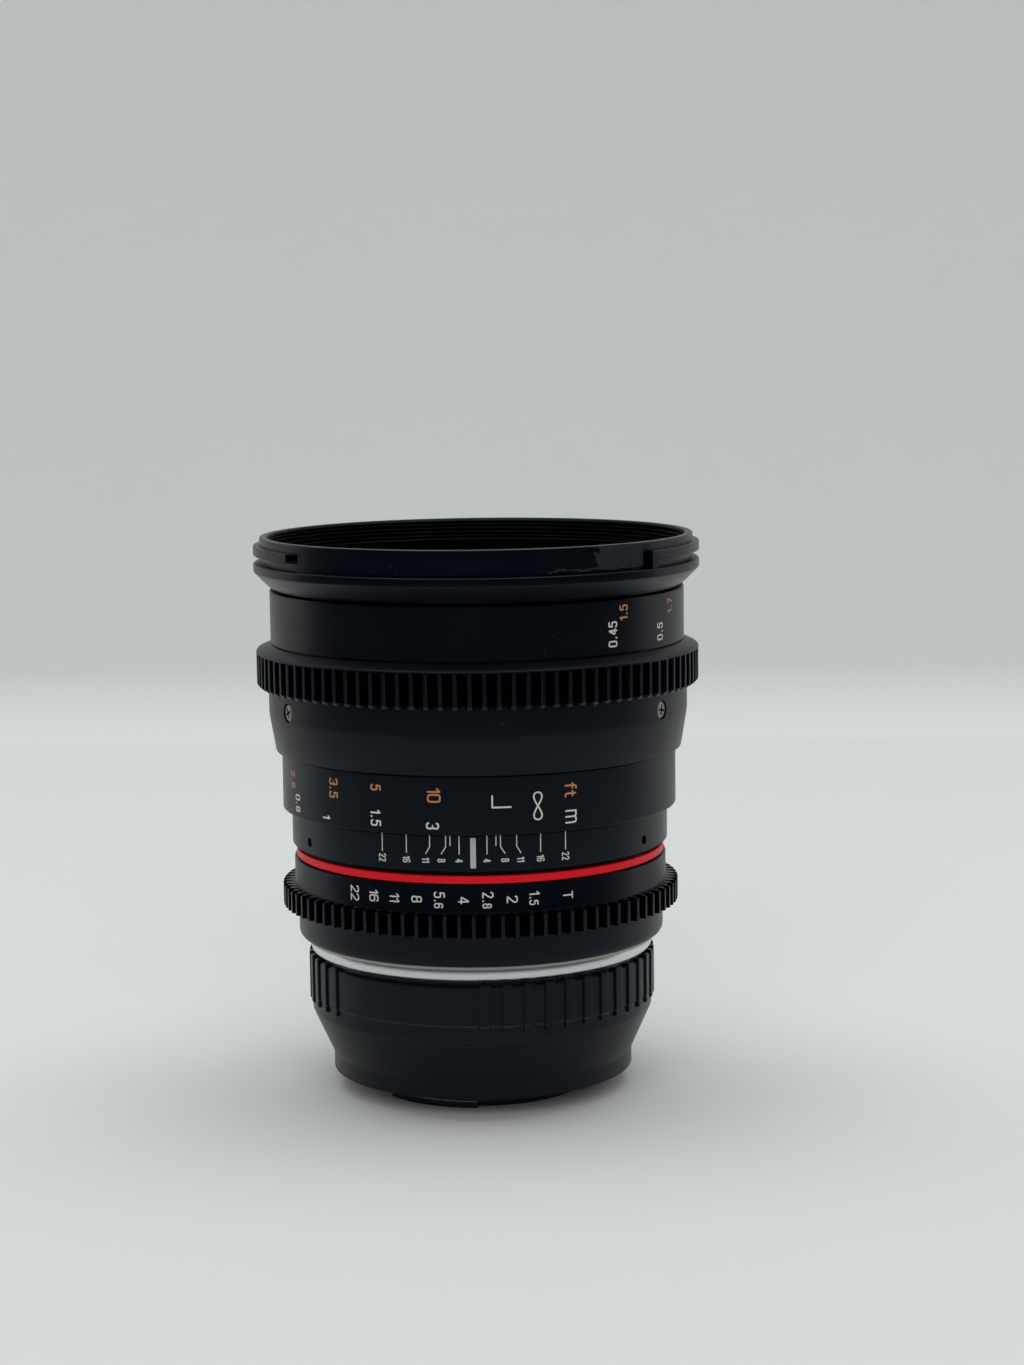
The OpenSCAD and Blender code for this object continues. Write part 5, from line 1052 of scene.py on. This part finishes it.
dress(drilled(surface("camera_mount_turned", row_grid(claw_angles, camera_rows)),
              drills(FOOT_CIRCLE, CAMERA_Z - 1, 4.0, SCREW_HOLE),
              drills(FOOT_CIRCLE, CAMERA_Z - 1, 1.95, SCREW_SEAT),
              drills(FOOT_CIRCLE, CAMERA_Z - 1, 2.6, INDEX_HOLE, INDEX_AT)),
      claw_plating, "lens_body", "adapter_camera_mount")

# %% [markdown]
# ## Release
# A grooved slider at the back pulls the lock pin down against a small coil spring. The slider is a copy of
# its CAD mesh whose finger pad gets soft edges, since a thumb wears them first. The spring is wound again
# with a rounder wire.

# %% Slider with a softened finger pad
PAD_IN, PAD_SOFT = 32.5, 0.09
pad = bmesh.new()
pad.from_mesh(frame["nodes"]["release_slider"].data)
bmesh.ops.remove_doubles(pad, verts=pad.verts, dist=1e-6)
bmesh.ops.dissolve_limit(pad, angle_limit=math.radians(1), verts=pad.verts, edges=pad.edges)
crisp = [edge for edge in pad.edges
         if edge.calc_face_angle(0) > SHARP and min(vert.co.y for vert in edge.verts) > PAD_IN * MM]
bmesh.ops.bevel(pad, geom=crisp, offset=PAD_SOFT * MM, segments=3, profile=0.5, affect="EDGES")
slider_mesh = bpy.data.meshes.new("release_slider_soft")
pad.to_mesh(slider_mesh)
pad.free()
dress(placed("release_slider_soft", smoothed(slider_mesh)), adapter_black, "release", "release_slider")

# %% Lock spring
COIL_R, WIRE_R, COIL_TURNS, COIL_LOW, COIL_TOP, COIL_KEEP = 1.1, 0.18, 5, 13.2, 18.0, 0.69


def coil(name, at, steps=200, sides=12):
    """Wire wound round an upright axis.

    Ring i stands at the angle t, its middle on the helix (R cos t, R sin t, z), its points at R + w cos s and
    z - w sin s. The first and last ring shrink to points.
    """
    t = 2 * np.pi * COIL_TURNS * np.linspace(0, 1, steps)[:, None]
    s = even_turn(sides)[None, :]
    wire = WIRE_R * np.r_[0, np.ones(steps - 2), 0][:, None]
    r = COIL_R + wire * np.cos(s)
    z = COIL_LOW + (COIL_TOP - COIL_LOW) * t / t[-1] - wire * np.sin(s)
    points = np.stack([r * np.cos(t), r * np.sin(t), z], -1) + at
    return joined(name, [surface(name, points, close_rows=False)])


lock_coil = dress(coil("lock_spring_wound", back * PIN_AT), screw_steel, "lens_body", "lock_spring")
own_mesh(lock_coil)
print("spring keeps", COIL_KEEP, "of its height when pressed")

# %% [markdown]
# ## Markings
# Figures and lines are engraved and filled with paint. An engraving cutter follows single lines with a
# round tip, so each figure is a few paths with round ends. They are laid out flat on the unrolled ring, x
# being the way round it and y the height, and one expression rolls them up: the angle is x / R, the radius
# is R plus the depth of the paint.

# %% Single-line figures
GLYPHS = {
    "0": [[(1.7, 0), (2.9, 0), (3.4, 0.9), (3.4, 5.1), (2.9, 6), (0.5, 6), (0, 5.1), (0, 0.9), (0.5, 0),
           (1.7, 0)]],
    "1": [[(0, 4.5), (1.5, 6), (1.5, 6), (1.5, 0)]],
    "2": [[(0, 4.9), (0.2, 6), (3.2, 6), (3.4, 4.6), (3.2, 3.7), (0, 0), (0, 0), (3.5, 0)]],
    "3": [[(0, 5.1), (0.3, 6), (3.2, 6), (3.4, 4.6), (3.2, 3.2), (1.3, 3.1)],
          [(1.3, 3.1), (3.2, 3.1), (3.4, 1.6), (3.2, 0), (0.3, 0), (0, 0.9)]],
    "4": [[(2.6, 0), (2.6, 6), (2.4, 6), (0, 1.7), (0, 1.5), (3.6, 1.5)]],
    "5": [[(3.2, 6), (0.4, 6), (0.4, 6), (0.2, 3.3), (0.2, 3.3), (1.2, 3.8), (3.2, 3.7), (3.4, 2), (3.2, 0),
           (0.3, 0), (0, 0.9)]],
    "6": [[(3.2, 5.2), (2.9, 6), (0.4, 6), (0, 4.8), (0, 0.9), (0.5, 0), (2.9, 0), (3.4, 0.9), (3.4, 2.7),
           (2.9, 3.5), (0.6, 3.5), (0, 2.8)]],
    "7": [[(0, 6), (3.4, 6), (3.4, 6), (1.2, 0)]],
    "8": [[(1.7, 3.2), (0.4, 3.2), (0.2, 4.6), (0.4, 6), (3.0, 6), (3.2, 4.6), (3.0, 3.2), (0.4, 3.2),
           (0, 1.6), (0.4, 0), (3.0, 0), (3.4, 1.6), (3.0, 3.2), (1.7, 3.2)]],
    ".": [[(0.9, 0), (0.9, 0.45)]],
    "f": [[(2.4, 6), (1.2, 6), (1.0, 5), (1.0, 0)], [(0, 3.9), (2.2, 3.9)]],
    "t": [[(1.0, 5.6), (1.0, 1), (1.2, 0), (2.4, 0)], [(0, 3.9), (2.2, 3.9)]],
    "m": [[(0, 0), (0, 4.4)], [(0, 3.4), (0.3, 4.4), (1.9, 4.4), (2.2, 3.4), (2.2, 0)],
          [(2.2, 3.4), (2.5, 4.4), (4.1, 4.4), (4.4, 3.4), (4.4, 0)]],
    "T": [[(0, 6), (3.6, 6)], [(1.8, 6), (1.8, 0)]]}
CELL_H, CELL_GAP, DOT_W = 6.0, 1.45, 1.8
STRIP, PAINT_RISE, PAINT_SINK = 0.16, 0.012, 0.05
print("figures:", "".join(GLYPHS))

# %% Strokes and rolled-up scales
def soften(path, rounds=2):
    """Corner cutting: each round turns an edge PQ into the points 3/4 P + 1/4 Q and 1/4 P + 3/4 Q."""
    for _ in range(rounds):
        p, q = path[:-1], path[1:]
        inner = np.stack([0.75 * p + 0.25 * q, 0.25 * p + 0.75 * q], 1).reshape(-1, 2)
        path = np.concatenate([path[:1], inner, path[-1:]])
    return path


def stroke(path, width):
    """Flat stroke, four points per step. Past an end by e, its half width is sqrt((w/2)^2 - e^2)."""
    steps = np.linalg.norm(np.diff(path, axis=0), axis=1)
    path, steps = path[np.r_[True, steps > 1e-6]], steps[steps > 1e-6]
    way, half = np.r_[0, np.cumsum(steps)], width / 2
    cap = half * np.sin(np.radians([17, 34, 51, 68, 85]))
    s = np.r_[-cap[::-1], np.linspace(0, way[-1], int(way[-1] / STRIP) + 3), way[-1] + cap]
    before, after = np.minimum(s, 0), np.maximum(s - way[-1], 0)
    first, last = (path[1] - path[0]) / steps[0], (path[-1] - path[-2]) / steps[-1]
    p = np.stack([np.interp(s, way, path[:, k]) for k in (0, 1)], 1)
    p = p + before[:, None] * first + after[:, None] * last
    ahead = unit(np.gradient(p, axis=0))
    side = np.stack([-ahead[:, 1], ahead[:, 0]], 1) * np.sqrt(half ** 2 - (before + after)[:, None] ** 2)
    rise = np.broadcast_to([-PAINT_SINK, PAINT_RISE, PAINT_RISE, -PAINT_SINK], (len(p), 4))
    return np.concatenate([np.stack([p + side, p + side, p - side, p - side], 1), rise[:, :, None]], 2)


class Scale:
    """Flat layout of one ring's markings in one paint, rolled up when it is finished."""

    def __init__(self, name, radius):
        self.name, self.radius, self.strokes = name, radius, []

    def line(self, points, width):
        """Stroke through points of (degrees, z)."""
        path = np.asarray(points, float) * (self.radius * math.pi / 180, 1.0)
        self.strokes.append(stroke(path, width))

    def text(self, words, degrees, z, height, turn, width, tail=1.0, stretch=1.0):
        """Words centred at an angle and a height, turned in degrees; all but the first letter times tail."""
        paths, pen = [], 0.0
        for index, letter in enumerate(words):
            size = height / CELL_H * (tail if index else 1.0)
            glyph = [np.array(path) for path in GLYPHS[letter]]
            paths += [soften(path) * (size * stretch, size) + (pen, 0) for path in glyph]
            wide = DOT_W if letter == "." else max(path[:, 0].max() for path in glyph)
            pen += size * (stretch * wide + CELL_GAP)
        every = np.concatenate(paths)
        middle = (every.min(0) + every.max(0)) / 2
        c, s = math.cos(math.radians(turn)), math.sin(math.radians(turn))
        rotation, place = np.array([[c, s], [-s, c]]), (self.radius * math.radians(degrees), z)
        self.strokes += [stroke((path - middle) @ rotation + place, width) for path in paths]

    def roll(self, paint, body, slot):
        """Rolls up the flat layout: (x, y, d) goes to angle x / R, radius R + d and height y."""
        points, faces, count = [], [], 0
        for flat in self.strokes:
            i, k = np.arange(len(flat) - 1)[:, None] * 4, np.arange(4)[None, :]
            sides = np.stack([i + k, i + (k + 1) % 4, i + 4 + (k + 1) % 4, i + 4 + k], -1).reshape(-1, 4)
            ends = np.array([[3, 2, 1, 0], [0, 1, 2, 3]]) + [[0], [4 * (len(flat) - 1)]]
            faces.append(np.concatenate([sides, ends]) + count)
            points.append(flat.reshape(-1, 3))
            count += 4 * len(flat)
        x, y, depth = np.concatenate(points).T
        mesh = bpy.data.meshes.new(self.name)
        mesh.from_pydata(spin(x / self.radius, self.radius + depth, y) * MM, [], np.concatenate(faces))
        return dress(placed(self.name, mesh), paint, body)


print("scales ready:", Scale.__name__)

# %% [markdown]
# The distances are generic figures in metres and feet. On the lower band they read downwards, and the
# nearest one reaches the index bar at the end of the focus ring's turn. The grip carries the same scale
# half a turn away, reading upwards. A corner mark sits between infinity and ten feet.

# %% Distance figures
DOWN, UPWARD, METRES_W, FEET_W, NEAR_W, NEAR_H, NEAR_STRETCH = -90.0, 90.0, 0.30, 0.32, 0.29, 1.75, 0.84
INFINITY_AT, LOOP_W, LOOP_H, LOOP_LINE = 18.2, 0.74, 2.4, 0.28
METRES = (("m", 28.0, 55.75, 2.7, 1.05, 85.8), ("3", -11.0, 54.9, 2.05, 0.8, 85.6),
          ("1.5", -27.9, 55.8, 1.85, 0.84, 86.45), ("1", -46.2, 54.8, 1.85, 0.84, 85.4),
          ("0.8", -62.0, 55.9, 1.75, 0.84, 86.65), ("0.6", -92.1, 55.9, 1.75, 0.84, 86.65),
          ("0.5", -119.4, 55.9, 1.75, 0.84, 86.65), ("0.45", -139.6, 56.0, 1.75, 0.84, 87.35))
FEET = (("ft", 28.0, 60.5, 2.1, 1.05, 90.4), ("10", -10.5, 60.3, 2.15, 1.0, 90.5),
        ("5", -27.8, 61.2, 1.85, 0.8, 90.1), ("3.5", -43.0, 60.2, 1.9, 0.86, 91.0),
        ("2.5", -65.5, 60.0, 1.75, 0.84, 91.0), ("2", -90.1, 61.2, 1.85, 0.84, 90.1),
        ("1.7", -113.2, 60.2, 1.75, 0.84, 90.9), ("1.5", -135.7, 60.2, 1.75, 0.84, 91.0))


def infinity(scale, degrees, z, size=1.0):
    """Lying eight: x = W sin 2t, y = H cos t."""
    t = np.radians(np.linspace(0, 360, 61))
    across = np.degrees(size * LOOP_W * np.sin(2 * t) / scale.radius)
    scale.line(np.stack([degrees + across, z + size * LOOP_H * np.cos(t)], 1), LOOP_LINE)


metres, feet = Scale("distance_metres", BAND_R), Scale("distance_feet", BAND_R)
near_metres, near_feet = Scale("near_metres", GRIP_R), Scale("near_feet", GRIP_R)
for band, grip, width, table in ((metres, near_metres, METRES_W, METRES), (feet, near_feet, FEET_W, FEET)):
    for words, degrees, z, height, stretch, grip_z in table:
        band.text(words, degrees, z, height, DOWN, width, stretch=stretch)
        grip.text(words, degrees + 180, grip_z, NEAR_H, UPWARD, NEAR_W, stretch=NEAR_STRETCH)
metres.line([(5.5, 60.15), (5.5, 58.15), (10.6, 58.15)], METRES_W)
infinity(metres, INFINITY_AT, 58.1)
infinity(near_metres, INFINITY_AT + 180, 88.4, 0.8)
metres.roll(cream_paint, "focus_ring_body", "black_anodised")
feet.roll(orange_paint, "focus_ring_body", "black_anodised")
near_metres.roll(cream_paint, "focus_ring_body", "black_satin")
near_feet.roll(orange_paint, "focus_ring_body", "black_satin")

# %% [markdown]
# The depth ring has a thick index bar and pairs of lines for each stop. The inner lines bend outwards to
# reach their figures.

# %% Depth scale
LINE_TOP, LINE_BEND, LINE_LOW, LINE_W = 52.85, 50.9, 49.7, 0.17
FIGURE_Z, FIGURE_H, FIGURE_W = 48.5, 1.25, 0.19
DEPTHS = (("22", 27.5, 27.5), ("16", 19.7, 19.7), ("11", 12.6, 13.8), ("8", 7.9, 9.2), ("4", 4.0, 4.0))
SHORT_AT, SHORT_LOW, BAR_TOP, BAR_LOW, BAR_STEP, BAR_W = 6.6, 51.2, 52.35, 47.35, 0.46, 0.42
depth_marks, index_bar = Scale("depth_marks", DEPTH_R), Scale("index_bar", DEPTH_R)
for side in (-1, 1):
    for words, top, low in DEPTHS:
        depth_marks.line([(side * top, LINE_TOP), (side * top, LINE_BEND), (side * low, LINE_LOW)], LINE_W)
        depth_marks.text(words, side * low, FIGURE_Z, FIGURE_H, DOWN, FIGURE_W, stretch=0.66)
    depth_marks.line([(side * SHORT_AT, LINE_TOP), (side * SHORT_AT, SHORT_LOW)], LINE_W)
depth_marks.roll(cream_paint, "lens_body", "black_anodised")
for shift in (-BAR_STEP, 0.0, BAR_STEP):
    index_bar.line([(shift, BAR_TOP), (shift, BAR_LOW)], BAR_W)
index_bar.roll(white_paint, "lens_body", "black_anodised")

# %% Aperture figures
STOPS = (("1.5", 17.9), ("2", 11.2), ("2.8", 4.1), ("4", -2.9), ("5.6", -10.1), ("8", -17.0), ("11", -24.0),
         ("16", -31.1), ("22", -38.3), ("T", 28.4))
STOP_Z, STOP_H, STOP_W = 41.4, 1.75, 0.25
aperture_marks = Scale("aperture_marks", APERTURE_R)
for words, degrees in STOPS:
    tail, stretch = (0.82, 0.86) if "." in words else (1.0, 1.05)
    aperture_marks.text(words, degrees, STOP_Z, STOP_H, DOWN, STOP_W, tail, stretch)
aperture_marks.roll(cream_paint, "aperture_ring_body", "black_satin")

# %% [markdown]
# ## Glass
# Nine elements in six groups, as in many fast primes: a strong front, a cemented pair, the iris, then four
# groups behind it. Each is turned from the axis outwards with two spherical faces. Points on the axis are
# merged, so both poles are closed.

# %% Lens elements
GLASS = {
    "glass_1_front": (88.90, 82.17, 82.54, 79.78), "glass_2": (79.60, 72.06, 72.61, 71.04),
    "glass_3": (72.59, 70.98, 70.98, 65.50), "glass_4": (52.62, 58.15, 51.21, 49.05),
    "glass_5": (51.19, 48.96, 44.00, 47.34), "glass_6": (43.50, 42.22, 39.00, 41.22),
    "glass_7": (38.50, 36.56, 35.41, 33.69), "glass_8": (35.39, 33.63, 33.38, 30.79),
    "glass_9_rear": (32.60, 29.44, 27.90, 28.67)}


def lens_element(node, front, front_rim, back_face, back_rim, rows=40):
    """Lens between two spheres, each given by the heights of its vertex and its rim.

    z = vertex - sign(h) (c - sqrt(c^2 - r^2)) with h = vertex - rim and c = (R^2 + h^2) / 2|h|.
    """
    radius = extent(node)[2]
    r = radius * np.sin(np.radians(np.linspace(0, 90, rows)))

    def face(vertex, rim):
        h = vertex - rim
        c = (radius ** 2 + h ** 2) / 2 / abs(h)
        return np.stack([r, vertex - np.sign(h) * (c - np.sqrt(c ** 2 - r ** 2))], 1)

    profile = np.concatenate([face(back_face, back_rim), face(front, front_rim)[::-1]])
    return turned(node + "_turned", (0, 0, 0), AXIS, profile, 192)


for node, heights in GLASS.items():
    dress(lens_element(node, *heights), coated_glass, "optics_block", node)

# %% [markdown]
# The name ring keeps the front element in its cell. It is left bare. Fine steps on its cone keep light
# from bouncing off it.

# %% Bare name ring
NAME_LOW, NAME_TOP, NAME_OUT = extent("name_ring")
_, CELL_TOP, _ = extent("front_cell")
NAME_IN, NAME_FOOT, NAME_SEAT = 23.9, 85.6, 24.5
CONE_STEPS, CONE_TOP_R, CONE_TOP_Z = 9, 30.6, 90.6
cone_r = np.linspace(NAME_SEAT, CONE_TOP_R, CONE_STEPS + 1)
cone_z = np.linspace(NAME_FOOT, CONE_TOP_Z, CONE_STEPS + 1)
cone = [pair for i in range(CONE_STEPS, 0, -1)
        for pair in ((cone_r[i], cone_z[i - 1] + 0.12), (cone_r[i - 1] + 0.1, cone_z[i - 1]))]
name_rows = [
    (NAME_IN, NAME_LOW), (NAME_SEAT, NAME_LOW), (NAME_SEAT, CELL_TOP), (NAME_OUT, CELL_TOP),
    (NAME_OUT, NAME_TOP), (CONE_TOP_R + 0.5, NAME_TOP), (CONE_TOP_R, CONE_TOP_Z), *cone,
    (NAME_IN, NAME_FOOT - 0.3)]
dress(lathe("name_ring_turned", name_rows, 0.06, 3), barrel_black, "optics_block", "name_ring")
